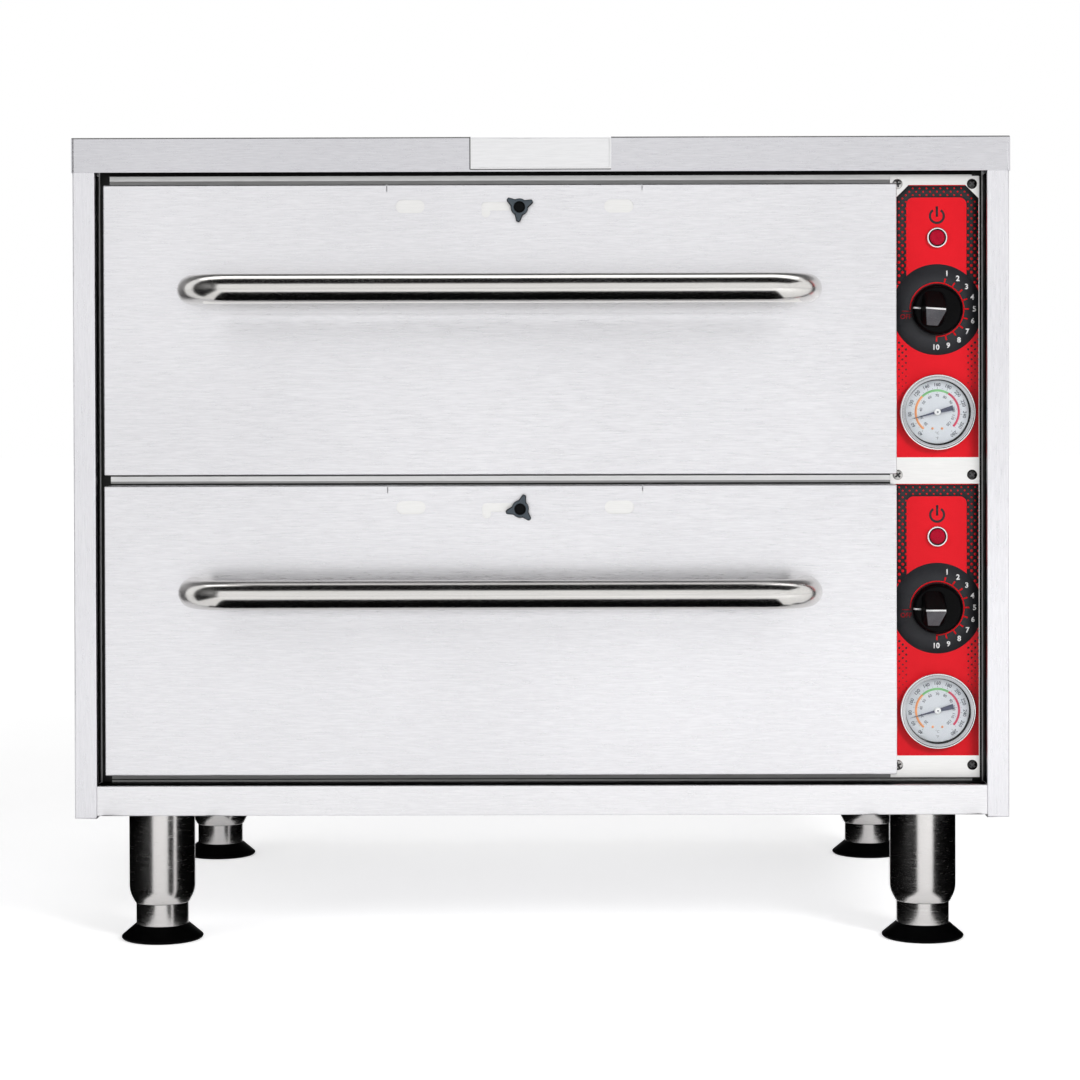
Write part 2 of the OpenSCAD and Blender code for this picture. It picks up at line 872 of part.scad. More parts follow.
// Pair of rollers on one axis, a bored wheel at each wall
module rollers(v)
    color("white")
        both_walls()
            difference() {
                cross_bar(wheel_r, wheel_u0, wheel_u1, v, wheel_z);
                cross_bar(pin_r + pin_play, wheel_u0 - over, wheel_u1 + over, v, wheel_z);
            }

// Round stops between the frame and the lower edge of each drawer front
module drawer_bumpers()
    color("black")
        for (z = rows, x = [-bumper_x, 0, bumper_x])
            facing(drawer_cx + x, frame_set, z + bumper_d / 2 - bumper_show)
                cylinder(d = bumper_d, h = frame_set - drawer_d);

// Vent slots, knob slot, handle bolt holes and relief slits of a drawer front, in the front view
module drawer_front_cuts() {
    for (x = [-vent_left, vent_right])
        translate([drawer_cx + x, vent_z])
            stadium(vent_w, vent_h);
    translate([drawer_cx + knob_x - vent_travel / 2, vent_z])
        stadium(vent_travel + slot_w, slot_w);
    for (x = [knob_x - vent_travel, knob_x])
        translate([drawer_cx + x, vent_z - slot_leg / 2])
            rotate(90)
                stadium(slot_leg + slot_w, slot_w);
    for (side = [-1, 1])
        translate([drawer_cx + side * bolt_x, drawer_h - handle_drop])
            circle(bolt_r + hole_play);
    for (x = [-vent_left - slit_out, vent_right + slit_out])
        span(drawer_cx + x - slit_w / 2, drawer_cx + x + slit_w / 2, drawer_h - slit_l, drawer_h + over);
}

// Formed drawer front, open at the back, with the guides of its vent slide
module drawer_front()
    color("whitesmoke") {
        difference() {
            block(drawer_x0, drawer_x1, 0, drawer_d, 0, drawer_h);
            block(drawer_x0 + sheet, drawer_x1 - sheet, sheet, drawer_d + over, sheet, drawer_h - sheet);
            plate(-over, sheet + over)
                drawer_front_cuts();
        }
        for (flip = [0, 1])
            translate([0, 0, vent_z])
                mirror([0, 0, flip]) {
                    block(guide_x, guide_x + guide_l, sheet, guide_back,
                          slide_h / 2 + play, slide_h / 2 + play + guide_t);
                    block(guide_x, guide_x + guide_l, slide_back + play, guide_back,
                          slide_h / 2 - guide_t, slide_h / 2 + play + guide_t);
                }
    }

module drawer_backing()
    color("lightgray")
        block(drawer_x0 + sheet, drawer_x1 - sheet, drawer_d - sheet, drawer_d, sheet, drawer_h - sheet);

// Tube bent twice, with a drilled plug in each end
module handle()
    color("gray")
        translate([drawer_cx, front_y, drawer_h - handle_drop]) {
            translate([0, -handle_out, 0])
                rotate([0, 90, 0])
                    linear_extrude(2 * (bolt_x - handle_bend), center = true)
                        handle_ring();
            for (side = [0, 1])
                mirror([side, 0, 0]) {
                    translate([bolt_x - handle_bend, -handle_leg, 0])
                        rotate(-90)
                            rotate_extrude(angle = 90)
                                translate([handle_bend, 0])
                                    handle_ring();
                    translate([bolt_x, 0, 0])
                        rotate([90, 0, 0])
                            difference() {
                                union() {
                                    linear_extrude(handle_leg)
                                        handle_ring();
                                    cylinder(r = handle_r - handle_wall / 2, h = plug_l);
                                }
                                translate([0, 0, -over])
                                    cylinder(r = bolt_r + hole_play, h = plug_l + 2 * over);
                            }
                }
        }

module handle_ring()
    difference() {
        circle(handle_r);
        circle(handle_r - handle_wall);
    }

module handle_bolts()
    color("silver")
        for (side = [-1, 1])
            facing(drawer_cx + side * bolt_x, sheet, drawer_h - handle_drop) {
                translate([0, 0, -bolt_head])
                    cylinder(r = 2 * bolt_r, h = bolt_head, $fn = 6);
                cylinder(r = bolt_r, h = sheet + plug_l);
            }

// Sheet carriage behind a drawer front: deck round the pan, sides with runners and roller pins
module carriage()
    color("silver") {
        difference() {
            union() {
                block(web_x0, web_x1, drawer_d, carriage_end, deck_top - sheet, deck_top);
                block(web_x0, web_x1, drawer_d, carriage_v, web_foot, deck_top);
                block(web_x0, web_x1, carriage_end - sheet, carriage_end, web_foot, deck_top);
            }
            translate([drawer_cx, front_y + pan_v + pan_d / 2, deck_top - sheet - over])
                linear_extrude(sheet + 2 * over)
                    round_rect(pan_in_w + 2 * pan_play, pan_in_d + 2 * pan_play, pan_corner + pan_play);
        }
        both_walls() {
            block(slide_space, slide_space + sheet, drawer_d, carriage_end, web_foot, deck_top);
            block(runner_u, slide_space, carriage_v, carriage_end, runner_z, runner_z + sheet);
            cross_bar(pin_r + shoulder, wheel_u1 + play, slide_space, rear_wheel_v, wheel_z);
            cross_bar(pin_r, wheel_u0 - play, slide_space, rear_wheel_v, wheel_z);
        }
    }

// Food pan hung by its rim in the deck
module pan()
    color("lightgray")
        translate([drawer_cx, front_y + pan_v + pan_d / 2, deck_top + pan_wall - pan_h])
            difference() {
                union() {
                    linear_extrude(pan_h)
                        round_rect(pan_in_w, pan_in_d, pan_corner);
                    translate([0, 0, pan_h - pan_wall])
                        linear_extrude(pan_wall)
                            round_rect(pan_w, pan_d, pan_corner);
                }
                translate([0, 0, pan_wall])
                    linear_extrude(pan_h)
                        round_rect(pan_in_w - 2 * pan_wall, pan_in_d - 2 * pan_wall, pan_corner - pan_wall);
            }

// Plate behind the vent slots, with holes that meet them when it slides left
module vent_slide()
    color("whitesmoke")
        plate(slide_v, slide_back)
            difference() {
                span(drawer_cx - vent_left - slide_end, drawer_cx + vent_right + vent_travel + slide_end,
                     vent_z - slide_h / 2, vent_z + slide_h / 2);
                for (x = [-vent_left, vent_right])
                    translate([drawer_cx + x + vent_travel, vent_z])
                        stadium(vent_w, vent_h);
                translate([drawer_cx + knob_x, vent_z - knob_sag])
                    circle(stud_r + pin_play);
            }

// Three-lobed knob with its stud through the vent slide and a nut behind it
module vent_knob(turn)
    color("darkslategray")
        facing(drawer_cx + knob_x, -play, vent_z - knob_sag) {
            difference() {
                linear_extrude(knob_h) {
                    circle(knob_hub_r);
                    for (lobe = [0 : 2])
                        rotate(turn + 120 * lobe)
                            polygon([
                                [0, -lobe_root], [knob_tip_r, -lobe_tip],
                                [knob_tip_r, lobe_tip], [0, lobe_root]
                            ]);
                }
                translate([0, 0, knob_h - knob_dish])
                    cylinder(r = knob_hub_r - knob_wall, h = knob_dish + over);
            }
            translate([0, 0, -stud_l])
                cylinder(r = stud_r, h = stud_l);
            translate([0, 0, -stud_l])
                cylinder(r = 2 * stud_r, h = nut_h, $fn = 6);
        }

// Leg tube with a rolled lower end that guides the foot's insert
module leg_tubes()
    color("gray")
        for (x = [-leg_x, leg_x], v = leg_vs)
            translate([x, front_y + v, leg_z])
                rotate_extrude() {
                    intersection() {
                        translate([leg_r - leg_round, leg_round])
                            circle(leg_round);
                        translate([guide_r, 0])
                            square([leg_r - guide_r, 2 * leg_round]);
                    }
                    translate([guide_r, 0])
                        square([leg_r - leg_round - guide_r, 2 * leg_round]);
                    translate([leg_r - leg_wall, leg_round])
                        square([leg_wall, leg_l - leg_round]);
                    translate([0, leg_l - leg_cap])
                        square([leg_r, leg_cap]);
                }

// Insert of one foot, inside its leg tube
module foot_insert(side, end)
    color("silver")
        translate([side * leg_x, front_y + leg_vs[end], foot_h])
            cylinder(r = insert_r, h = insert_l);

// Flared foot under one insert
module foot_pad(side, end)
    color("black")
        translate([side * leg_x, front_y + leg_vs[end], 0])
            rotate_extrude()
                polygon([
                    [0, 0], [foot_d / 2 - foot_edge, 0], [foot_d / 2, foot_edge],
                    [foot_d / 2, 2 * foot_edge], [insert_r + foot_collar, foot_h - foot_edge],
                    [insert_r + foot_collar, foot_h], [0, foot_h]
                ]);

left_side_panel();
right_side_panel();
top_cover();
back_panel();
base_pan();
front_frame();
cavity_liner();
cavity_shelf();
control_bulkhead();
insulation_batts();
nameplate();
control_panel();
control_label(upper, label_chamfer);  // upper_label
control_label(lower, 0);  // lower_label
pilot_bezels();
pilot_lenses();
thermostats();
thermometer_cases();
thermometer_dials();
thermometer_glasses();
heating_elements();
slide_rails();
leg_tubes();
panel_screws();
body_screws();
cord_gland();
drawer_bumpers();
at_row(upper) drawer_front();  // upper_drawer_front
at_row(upper) drawer_backing();  // upper_drawer_backing
at_row(upper) handle();  // upper_handle
at_row(upper) handle_bolts();  // upper_handle_bolts
at_row(upper) carriage();  // upper_carriage
at_row(upper) pan();  // upper_pan
at_row(lower) drawer_front();  // lower_drawer_front
at_row(lower) drawer_backing();  // lower_drawer_backing
at_row(lower) handle();  // lower_handle
at_row(lower) handle_bolts();  // lower_handle_bolts
at_row(lower) carriage();  // lower_carriage
at_row(lower) pan();  // lower_pan
at_row(upper) vent_slide();  // upper_vent_slide
at_row(lower) vent_slide();  // lower_vent_slide
at_row(upper) vent_knob(upper_knob_turn);  // upper_vent_knob
at_row(lower) vent_knob(lower_knob_turn);  // lower_vent_knob
at_row(upper) rollers(front_wheel_v);  // upper_front_rollers
at_row(lower) rollers(front_wheel_v);  // lower_front_rollers
at_row(upper) rollers(rear_wheel_v);  // upper_rear_rollers
at_row(lower) rollers(rear_wheel_v);  // lower_rear_rollers
dial_knob(upper);  // upper_dial_knob
dial_knob(lower);  // lower_dial_knob
needle(upper);  // upper_needle
needle(lower);  // lower_needle
foot_insert(-1, 0);  // front_left_insert
foot_insert(1, 0);  // front_right_insert
foot_insert(-1, 1);  // rear_left_insert
foot_insert(1, 1);  // rear_right_insert
foot_pad(-1, 0);  // front_left_foot
foot_pad(1, 0);  // front_right_foot
foot_pad(-1, 1);  // rear_left_foot
foot_pad(1, 1);  // rear_right_foot
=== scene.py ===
from math import cos, pi, radians, sin

import bmesh
import bpy
import numpy as np
from mathutils import Matrix, Vector


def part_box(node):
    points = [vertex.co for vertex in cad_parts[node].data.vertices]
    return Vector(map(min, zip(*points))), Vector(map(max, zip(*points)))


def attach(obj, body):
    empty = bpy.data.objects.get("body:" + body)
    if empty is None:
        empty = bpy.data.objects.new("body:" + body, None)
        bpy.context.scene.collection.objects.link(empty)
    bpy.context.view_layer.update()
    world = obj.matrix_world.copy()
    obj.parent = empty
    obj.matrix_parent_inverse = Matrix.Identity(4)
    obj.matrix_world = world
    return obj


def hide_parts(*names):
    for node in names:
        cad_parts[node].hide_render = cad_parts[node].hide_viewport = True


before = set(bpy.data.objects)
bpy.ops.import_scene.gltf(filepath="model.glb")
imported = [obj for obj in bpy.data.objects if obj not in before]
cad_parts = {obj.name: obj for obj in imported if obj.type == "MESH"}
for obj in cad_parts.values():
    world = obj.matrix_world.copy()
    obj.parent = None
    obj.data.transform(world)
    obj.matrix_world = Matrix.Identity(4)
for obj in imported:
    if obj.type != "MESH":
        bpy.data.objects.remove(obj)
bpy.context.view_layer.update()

# Shapes below are in millimetres: x to the right, v behind the front stiles, z up from the floor
FRONT_Y = -0.238625
ROWS = {"upper": 384.0, "lower": 141.5}
# Heights above a row's foot
HANDLE_UP = 149
VENT_UP = 216.2
VENT_DROP = 1.1
PILOT_UP = 191
DIAL_UP = 132.6
GAUGE_UP = 49.5
CONTROL_X = 321.55
PANEL_V = 19.8
DRAWER_X = -32.9
LEGS = {("left", "front"): (-314, 55), ("right", "front"): (314, 55),
        ("left", "rear"): (-314, 465), ("right", "rear"): (314, 465)}
# Dark cards beside a leg: distance to its right, and start and end along v, from the leg's axis
LEG_BLINDS = {"left": [(-42, -100, 60), (42, -92, -51), (42, -40, 60)],
              "right": [(-42, -100, 60), (42, -92, 60)]}
FAR = 2000
TUBE_SIDES = 40
FINISHES = {}


# Surfaces

def grid_faces(rows, cols, wrap=False):
    """Four-sided faces of a grid of points stored row by row; wrap joins the last column to the first."""
    row = np.arange(rows - 1)[:, None]
    col = np.arange(cols if wrap else cols - 1)[None, :]
    after = (col + 1) % cols
    quads = [row * cols + col, row * cols + after, (row + 1) * cols + after, (row + 1) * cols + col]
    return np.stack(quads, -1).reshape(-1, 4).tolist()


def rounded(corners, radii, steps=7):
    """A run of straight sides with soft corners: each corner is a curve from a point short of it on the side
    before, pulled towards the corner, to a point past it on the side after."""
    p = np.array(corners, float)
    before = np.vstack([p[:1], p[:-1]]) - p
    after = np.vstack([p[1:], p[-1:]]) - p
    reach_a = np.linalg.norm(before, axis=1, keepdims=True)
    reach_b = np.linalg.norm(after, axis=1, keepdims=True)
    r = np.array(radii, float)[:, None]
    a = p + before / np.maximum(reach_a, 1e-9) * np.minimum(r, reach_a * 0.5)
    b = p + after / np.maximum(reach_b, 1e-9) * np.minimum(r, reach_b * 0.5)
    t = np.linspace(0, 1, steps)[None, :, None]
    run = (1 - t) ** 2 * a[:, None] + 2 * t * (1 - t) * p[:, None] + t ** 2 * b[:, None]
    return run.reshape(-1, 2)


def turned_front(profile, x, v, z, steps=72):
    """Lathe work facing the front: each profile point (radius, height) goes once round a circle in the plane
    of x and z, at its height in front of v."""
    p = np.asarray(profile, float)
    turn = np.linspace(0, 2 * pi, steps, endpoint=False)[None, :]
    r = p[:, :1]
    points = np.stack([x + r * np.cos(turn), v - p[:, 1:] + 0 * turn, z + r * np.sin(turn)], -1)
    return points.reshape(-1, 3), grid_faces(len(p), steps, True)


def turned_up(profile, x, v, steps=72):
    """Lathe work standing upright: each profile point (radius, height) goes once round a level circle."""
    p = np.asarray(profile, float)
    turn = np.linspace(0, 2 * pi, steps, endpoint=False)[None, :]
    r = p[:, :1]
    points = np.stack([x + r * np.cos(turn), v + r * np.sin(turn), p[:, 1:] + 0 * turn], -1)
    return points.reshape(-1, 3), grid_faces(len(p), steps, True)


def box_loops(loops, steps=8):
    """Level rounded rectangles stacked into a skin: each loop is half width, half depth, corner radius and
    height, and its corners are quarter circles."""
    p = np.array(loops, float)[:, :, None]
    turn = np.linspace(0, pi / 2, steps)
    angle = (np.arange(4)[:, None] * pi / 2 + turn[None, :]).ravel()[None, :]
    sx = np.repeat([1, -1, -1, 1], steps)[None, :]
    sy = np.repeat([1, 1, -1, -1], steps)[None, :]
    x = sx * (p[:, 0] - p[:, 2]) + p[:, 2] * np.cos(angle)
    y = sy * (p[:, 1] - p[:, 2]) + p[:, 2] * np.sin(angle)
    points = np.stack([x, y, p[:, 3] + 0 * angle], -1)
    return points.reshape(-1, 3), grid_faces(len(p), 4 * steps, True)


def bent_tube(path, normals, radius, steps=TUBE_SIDES):
    """A round tube in a level plane: every path point carries a circle spanned by its own sideways normal
    and the upright."""
    turn = np.linspace(0, 2 * pi, steps, endpoint=False)[None, :]
    across = radius * np.cos(turn)
    points = np.stack([path[:, :1] + normals[:, :1] * across, path[:, 1:2] + normals[:, 1:2] * across,
                       path[:, 2:3] + radius * np.sin(turn)], -1)
    return points.reshape(-1, 3), grid_faces(len(path), steps, True)


def joined(*shapes):
    """Several point and face sets as one, the face numbers moved on by the points before them."""
    counts = np.cumsum([0] + [len(s[0]) for s in shapes])
    faces = [[i + start for i in face] for start, shape in zip(counts, shapes) for face in shape[1]]
    return np.vstack([s[0] for s in shapes]), faces


def flat(points, faces, x, v, z):
    """A drawing in two directions stood up in the front plane at v, its first direction along x."""
    p = np.asarray(points, float)
    return np.stack([x + p[:, 0], np.full(len(p), v), z + p[:, 1]], -1), faces


def band(inner, outer, start, end, steps=48):
    """Part of a flat ring between two radii and two angles; a radius may change along the angle."""
    angle = np.linspace(radians(start), radians(end), steps)
    r = np.stack([inner + 0 * angle, outer + 0 * angle])
    points = np.stack([r * np.cos(angle), r * np.sin(angle)], -1).reshape(-1, 2)
    return points, grid_faces(2, steps)


def dots(centres, radii, sides=12):
    """Flat round dots, each a polygon on a circle of its own radius."""
    turn = np.linspace(0, 2 * pi, sides, endpoint=False)[None, :]
    r = np.asarray(radii, float)[:, None]
    points = np.stack([centres[:, :1] + r * np.cos(turn), centres[:, 1:] + r * np.sin(turn)], -1)
    return points.reshape(-1, 2), np.arange(points.shape[0] * sides).reshape(-1, sides).tolist()


def lettering(words, height, a=0.0, b=0.0, lean=0.0, weight=0.0):
    """Filled characters of the plain built-in face, scaled to a height, turned by an angle and centred."""
    curve = bpy.data.curves.new("lettering", "FONT")
    curve.body = words
    curve.offset = weight
    curve.resolution_u = 3
    holder = bpy.data.objects.new("lettering", curve)
    bpy.context.scene.collection.objects.link(holder)
    mesh = bpy.data.meshes.new_from_object(holder.evaluated_get(bpy.context.evaluated_depsgraph_get()))
    points = np.empty(len(mesh.vertices) * 3)
    mesh.vertices.foreach_get("co", points)
    points = points.reshape(-1, 3)[:, :2]
    faces = [list(face.vertices) for face in mesh.polygons]
    bpy.data.objects.remove(holder)
    bpy.data.curves.remove(curve)
    bpy.data.meshes.remove(mesh)
    low, high = points.min(0), points.max(0)
    points = (points - (low + high) / 2) * height / (high[1] - low[1])
    c, s = cos(radians(lean)), sin(radians(lean))
    return points @ np.array([[c, s], [-s, c]]) + [a, b], faces


def piece(name, shape, finish, body, stands_for=(), closed=True, sharp=35, skin=0.0):
    """Puts a shape into the scene as one finished piece: doubles merged, faces outwards, place in the mesh."""
    points, faces = shape
    spot = np.asarray(points, float) * 0.001 + [0, FRONT_Y, 0]
    mesh = bpy.data.meshes.new(name)
    mesh.from_pydata(spot.tolist(), [], faces)
    work = bmesh.new()
    work.from_mesh(mesh)
    bmesh.ops.remove_doubles(work, verts=work.verts, dist=1e-6)
    bmesh.ops.dissolve_degenerate(work, edges=work.edges, dist=1e-7)
    if closed:
        bmesh.ops.recalc_face_normals(work, faces=work.faces)
    work.to_mesh(mesh)
    work.free()
    mesh.shade_smooth()
    mesh.set_sharp_from_angle(angle=radians(sharp))
    mesh.materials.append(FINISHES[finish])
    made = bpy.data.objects.new(name, mesh)
    bpy.context.scene.collection.objects.link(made)
    if skin:
        film = made.modifiers.new("film", "SOLIDIFY")
        film.thickness = skin * 0.001
        film.offset = 1
    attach(made, body)
    if stands_for:
        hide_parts(*stands_for)
    return made


def face_table(made):
    """The middle of every face in millimetres (x, v, z), and the way it looks."""
    count = len(made.data.polygons)
    centre = np.empty(count * 3)
    facing = np.empty(count * 3)
    made.data.polygons.foreach_get("center", centre)
    made.data.polygons.foreach_get("normal", facing)
    return (centre.reshape(-1, 3) - [0, FRONT_Y, 0]) * 1000, facing.reshape(-1, 3)


def off_axis(made, x, z):
    """How far the middle of every face lies from a line that points to the front."""
    centre, _ = face_table(made)
    return np.hypot(centre[:, 0] - x, centre[:, 2] - z)


def recolour(made, name, chosen):
    """Gives the chosen faces of a piece a second finish."""
    made.data.materials.append(FINISHES[name])
    made.data.polygons.foreach_set("material_index", chosen.astype(np.int32))


def folded(node, name, radius, finish, body, corner=0.0):
    """A sheet part with bend radii: the solid's faces merged to clean polygons, and a rounding weighted on each
    outward fold between two faces wider than 4 mm; upright folds may take a larger corner radius."""
    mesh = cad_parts[node].data.copy()
    mesh.name = name
    mesh.materials.clear()
    work = bmesh.new()
    work.from_mesh(mesh)
    bmesh.ops.remove_doubles(work, verts=work.verts, dist=1e-6)
    bmesh.ops.dissolve_limit(work, angle_limit=radians(0.5), verts=work.verts, edges=work.edges)
    weight = work.edges.layers.float.new("bevel_weight_edge")
    widest = max(radius, corner)
    for edge in work.edges:
        if len(edge.link_faces) == 2 and edge.calc_face_angle_signed() > radians(60):
            span = edge.calc_length()
            if all(face.calc_area() / span > 0.004 for face in edge.link_faces):
                along = edge.verts[0].co - edge.verts[1].co
                upright = abs(along.z) > 0.99 * span
                edge[weight] = (corner if corner and upright else radius) / widest
    work.to_mesh(mesh)
    work.free()
    mesh.shade_smooth()
    mesh.set_sharp_from_angle(angle=radians(30))
    mesh.materials.append(FINISHES[finish])
    made = bpy.data.objects.new(name, mesh)
    bpy.context.scene.collection.objects.link(made)
    bend = made.modifiers.new("bends", "BEVEL")
    bend.limit_method = "WEIGHT"
    bend.width = widest * 0.001
    bend.segments = 3
    bend.use_clamp_overlap = False
    bend.harden_normals = True
    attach(made, body)
    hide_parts(node)
    return made


# Finishes

def new_group(name, takes, gives):
    """An empty effect with named sockets."""
    group = bpy.data.node_groups.new(name, "ShaderNodeTree")
    for label, kind in takes:
        group.interface.new_socket(name=label, in_out="INPUT", socket_type="NodeSocket" + kind)
    for label, kind in gives:
        group.interface.new_socket(name=label, in_out="OUTPUT", socket_type="NodeSocket" + kind)
    return group, group.nodes.new("NodeGroupInput"), group.nodes.new("NodeGroupOutput")


def noise(tree, place, scale, detail):
    """A soft noise value over a place."""
    node = tree.nodes.new("ShaderNodeTexNoise")
    node.inputs["Scale"].default_value = scale
    node.inputs["Detail"].default_value = detail
    node.inputs["Roughness"].default_value = 0.6
    tree.links.new(place, node.inputs["Vector"])
    return node.outputs[0]


def spread(tree, value, low, high, to_low=0.0, to_high=1.0):
    """A value stretched from one range to another; either end may be a socket."""
    node = tree.nodes.new("ShaderNodeMapRange")
    node.inputs["From Min"].default_value = low
    node.inputs["From Max"].default_value = high
    tree.links.new(value, node.inputs["Value"])
    for socket, end in (("To Min", to_low), ("To Max", to_high)):
        if isinstance(end, float):
            node.inputs[socket].default_value = end
        else:
            tree.links.new(end, node.inputs[socket])
    return node.outputs[0]


def blended(tree, factor, dark, light):
    """Two colours mixed by a value."""
    node = tree.nodes.new("ShaderNodeMix")
    node.data_type = "RGBA"
    tree.links.new(factor, node.inputs[0])
    tree.links.new(dark, node.inputs[6])
    tree.links.new(light, node.inputs[7])
    return node.outputs[2]


def sums(tree, operation, a, b):
    """One sum on two values; the second may be a plain number."""
    node = tree.nodes.new("ShaderNodeMath")
    node.operation = operation
    tree.links.new(a, node.inputs[0])
    if isinstance(b, (int, float)):
        node.inputs[1].default_value = b
    else:
        tree.links.new(b, node.inputs[1])
    return node.outputs[0]


EFFECT_TAKES = [("Place", "Vector"), ("Stretch", "Vector"), ("Dark", "Color"), ("Light", "Color"),
                ("Smooth", "Float"), ("Coarse", "Float")]
EFFECT_GIVES = [("Colour", "Color"), ("Roughness", "Float"), ("Height", "Float")]


def brushed_grain():
    """Noise drawn out into long fine lines, with a slow cloud; on faces that look sideways x and y change
    places, so the lines stay level there."""
    group, takes, gives = new_group("brushed grain", EFFECT_TAKES, EFFECT_GIVES)
    nodes, links = group.nodes, group.links
    parts = nodes.new("ShaderNodeSeparateXYZ")
    links.new(takes.outputs["Place"], parts.inputs[0])
    swapped = nodes.new("ShaderNodeCombineXYZ")
    links.new(parts.outputs["Y"], swapped.inputs["X"])
    links.new(parts.outputs["X"], swapped.inputs["Y"])
    links.new(parts.outputs["Z"], swapped.inputs["Z"])
    facing = nodes.new("ShaderNodeNewGeometry")
    way = nodes.new("ShaderNodeSeparateXYZ")
    links.new(facing.outputs["Normal"], way.inputs[0])
    sideways = sums(group, "GREATER_THAN", sums(group, "ABSOLUTE", way.outputs["X"], 0.0), 0.7)
    pick = nodes.new("ShaderNodeMix")
    pick.data_type = "VECTOR"
    links.new(sideways, pick.inputs[0])
    links.new(takes.outputs["Place"], pick.inputs[4])
    links.new(swapped.outputs[0], pick.inputs[5])
    drawn = nodes.new("ShaderNodeVectorMath")
    drawn.operation = "MULTIPLY"
    links.new(pick.outputs[1], drawn.inputs[0])
    links.new(takes.outputs["Stretch"], drawn.inputs[1])
    lines = noise(group, drawn.outputs[0], 1.0, 3.0)
    cloud = noise(group, takes.outputs["Place"], 5.0, 2.0)
    both = sums(group, "ADD", sums(group, "MULTIPLY", lines, 0.7), sums(group, "MULTIPLY", cloud, 0.3))
    shade = spread(group, both, 0.32, 0.68)
    links.new(blended(group, shade, takes.outputs["Dark"], takes.outputs["Light"]), gives.inputs["Colour"])
    rough = spread(group, lines, 0.3, 0.7, takes.outputs["Smooth"], takes.outputs["Coarse"])
    links.new(rough, gives.inputs["Roughness"])
    links.new(lines, gives.inputs["Height"])
    return group


def moulded_grain():
    """Fine even specks over a slow mottle, for plastic, rubber, print and paint."""
    group, takes, gives = new_group("moulded grain", EFFECT_TAKES, EFFECT_GIVES)
    drawn = group.nodes.new("ShaderNodeVectorMath")
    drawn.operation = "MULTIPLY"
    group.links.new(takes.outputs["Place"], drawn.inputs[0])
    group.links.new(takes.outputs["Stretch"], drawn.inputs[1])
    specks = noise(group, drawn.outputs[0], 1.0, 2.0)
    mottle = noise(group, takes.outputs["Place"], 40.0, 2.0)
    both = sums(group, "ADD", sums(group, "MULTIPLY", specks, 0.5), sums(group, "MULTIPLY", mottle, 0.5))
    shade = spread(group, both, 0.35, 0.65)
    colour = blended(group, shade, takes.outputs["Dark"], takes.outputs["Light"])
    group.links.new(colour, gives.inputs["Colour"])
    rough = spread(group, both, 0.35, 0.65, takes.outputs["Smooth"], takes.outputs["Coarse"])
    group.links.new(rough, gives.inputs["Roughness"])
    group.links.new(specks, gives.inputs["Height"])
    return group


GRAIN = {"brushed": brushed_grain(), "moulded": moulded_grain()}


def finish(name, kind, look, stretch, **plain):
    """A material: one grain effect feeds colour, roughness and a small bump; plain values sit on the shader."""
    dark, light, smooth, coarse, bump = look
    made = bpy.data.materials.new(name)
    made.use_nodes = True
    tree = made.node_tree
    shader = tree.nodes["Principled BSDF"]
    place = tree.nodes.new("ShaderNodeTexCoord")
    grain = tree.nodes.new("ShaderNodeGroup")
    grain.node_tree = GRAIN[kind]
    tree.links.new(place.outputs["Object"], grain.inputs["Place"])
    grain.inputs["Stretch"].default_value = stretch
    grain.inputs["Dark"].default_value = (*dark, 1)
    grain.inputs["Light"].default_value = (*light, 1)
    grain.inputs["Smooth"].default_value = smooth
    grain.inputs["Coarse"].default_value = coarse
    tree.links.new(grain.outputs["Colour"], shader.inputs["Base Color"])
    tree.links.new(grain.outputs["Roughness"], shader.inputs["Roughness"])
    relief = tree.nodes.new("ShaderNodeBump")
    relief.inputs["Strength"].default_value = bump
    relief.inputs["Distance"].default_value = BUMP_DEPTH
    tree.links.new(grain.outputs["Height"], relief.inputs["Height"])
    tree.links.new(relief.outputs[0], shader.inputs["Normal"])
    for label, value in plain.items():
        shader.inputs[label.replace("_", " ")].default_value = value
    FINISHES[name] = made


BUMP_DEPTH = 0.0002
LEVEL = (70, 1000, 1000)
UPRIGHT = (1000, 1000, 70)
EVEN = (1500, 1500, 1500)

# Every look is a dark and a light colour, the roughness from and to, and the bump.
# Brushed metal, with how the grain is drawn out along x, y and z
BRUSHED = {
    "door steel": (((0.745, 0.74, 0.765), (0.885, 0.88, 0.905), 0.26, 0.34, 0.06), LEVEL),
    # The lid's steel is a darker copy of the door steel: painted shade on the top
    "shaded lid steel": (((0.62, 0.616, 0.645), (0.75, 0.746, 0.775), 0.26, 0.34, 0.06), LEVEL),
    "side steel": (((0.76, 0.755, 0.785), (0.88, 0.875, 0.905), 0.26, 0.34, 0.06), UPRIGHT),
    "rail steel": (((0.80, 0.795, 0.815), (0.92, 0.915, 0.935), 0.26, 0.34, 0.06), LEVEL),
    "frame steel": (((0.60, 0.60, 0.61), (0.70, 0.70, 0.71), 0.3, 0.4, 0.05), LEVEL),
    "mill steel": (((0.58, 0.58, 0.59), (0.70, 0.70, 0.71), 0.32, 0.46, 0.1), (160, 500, 500)),
    "plate steel": (((0.86, 0.855, 0.845), (0.93, 0.925, 0.915), 0.3, 0.4, 0.04), LEVEL),
    "name steel": (((0.82, 0.82, 0.83), (0.90, 0.90, 0.91), 0.28, 0.36, 0.05), LEVEL),
    "handle satin": (((0.66, 0.645, 0.625), (0.76, 0.745, 0.725), 0.17, 0.23, 0.03), (25, 900, 900)),
    "leg satin": (((0.69, 0.672, 0.662), (0.82, 0.802, 0.792), 0.2, 0.28, 0.04), (90, 90, 1100)),
    "pan satin": (((0.66, 0.66, 0.67), (0.76, 0.76, 0.77), 0.24, 0.34, 0.06), (250, 250, 700)),
    "heater": (((0.05, 0.046, 0.044), (0.12, 0.11, 0.105), 0.42, 0.6, 0.2), (700, 700, 90)),
}
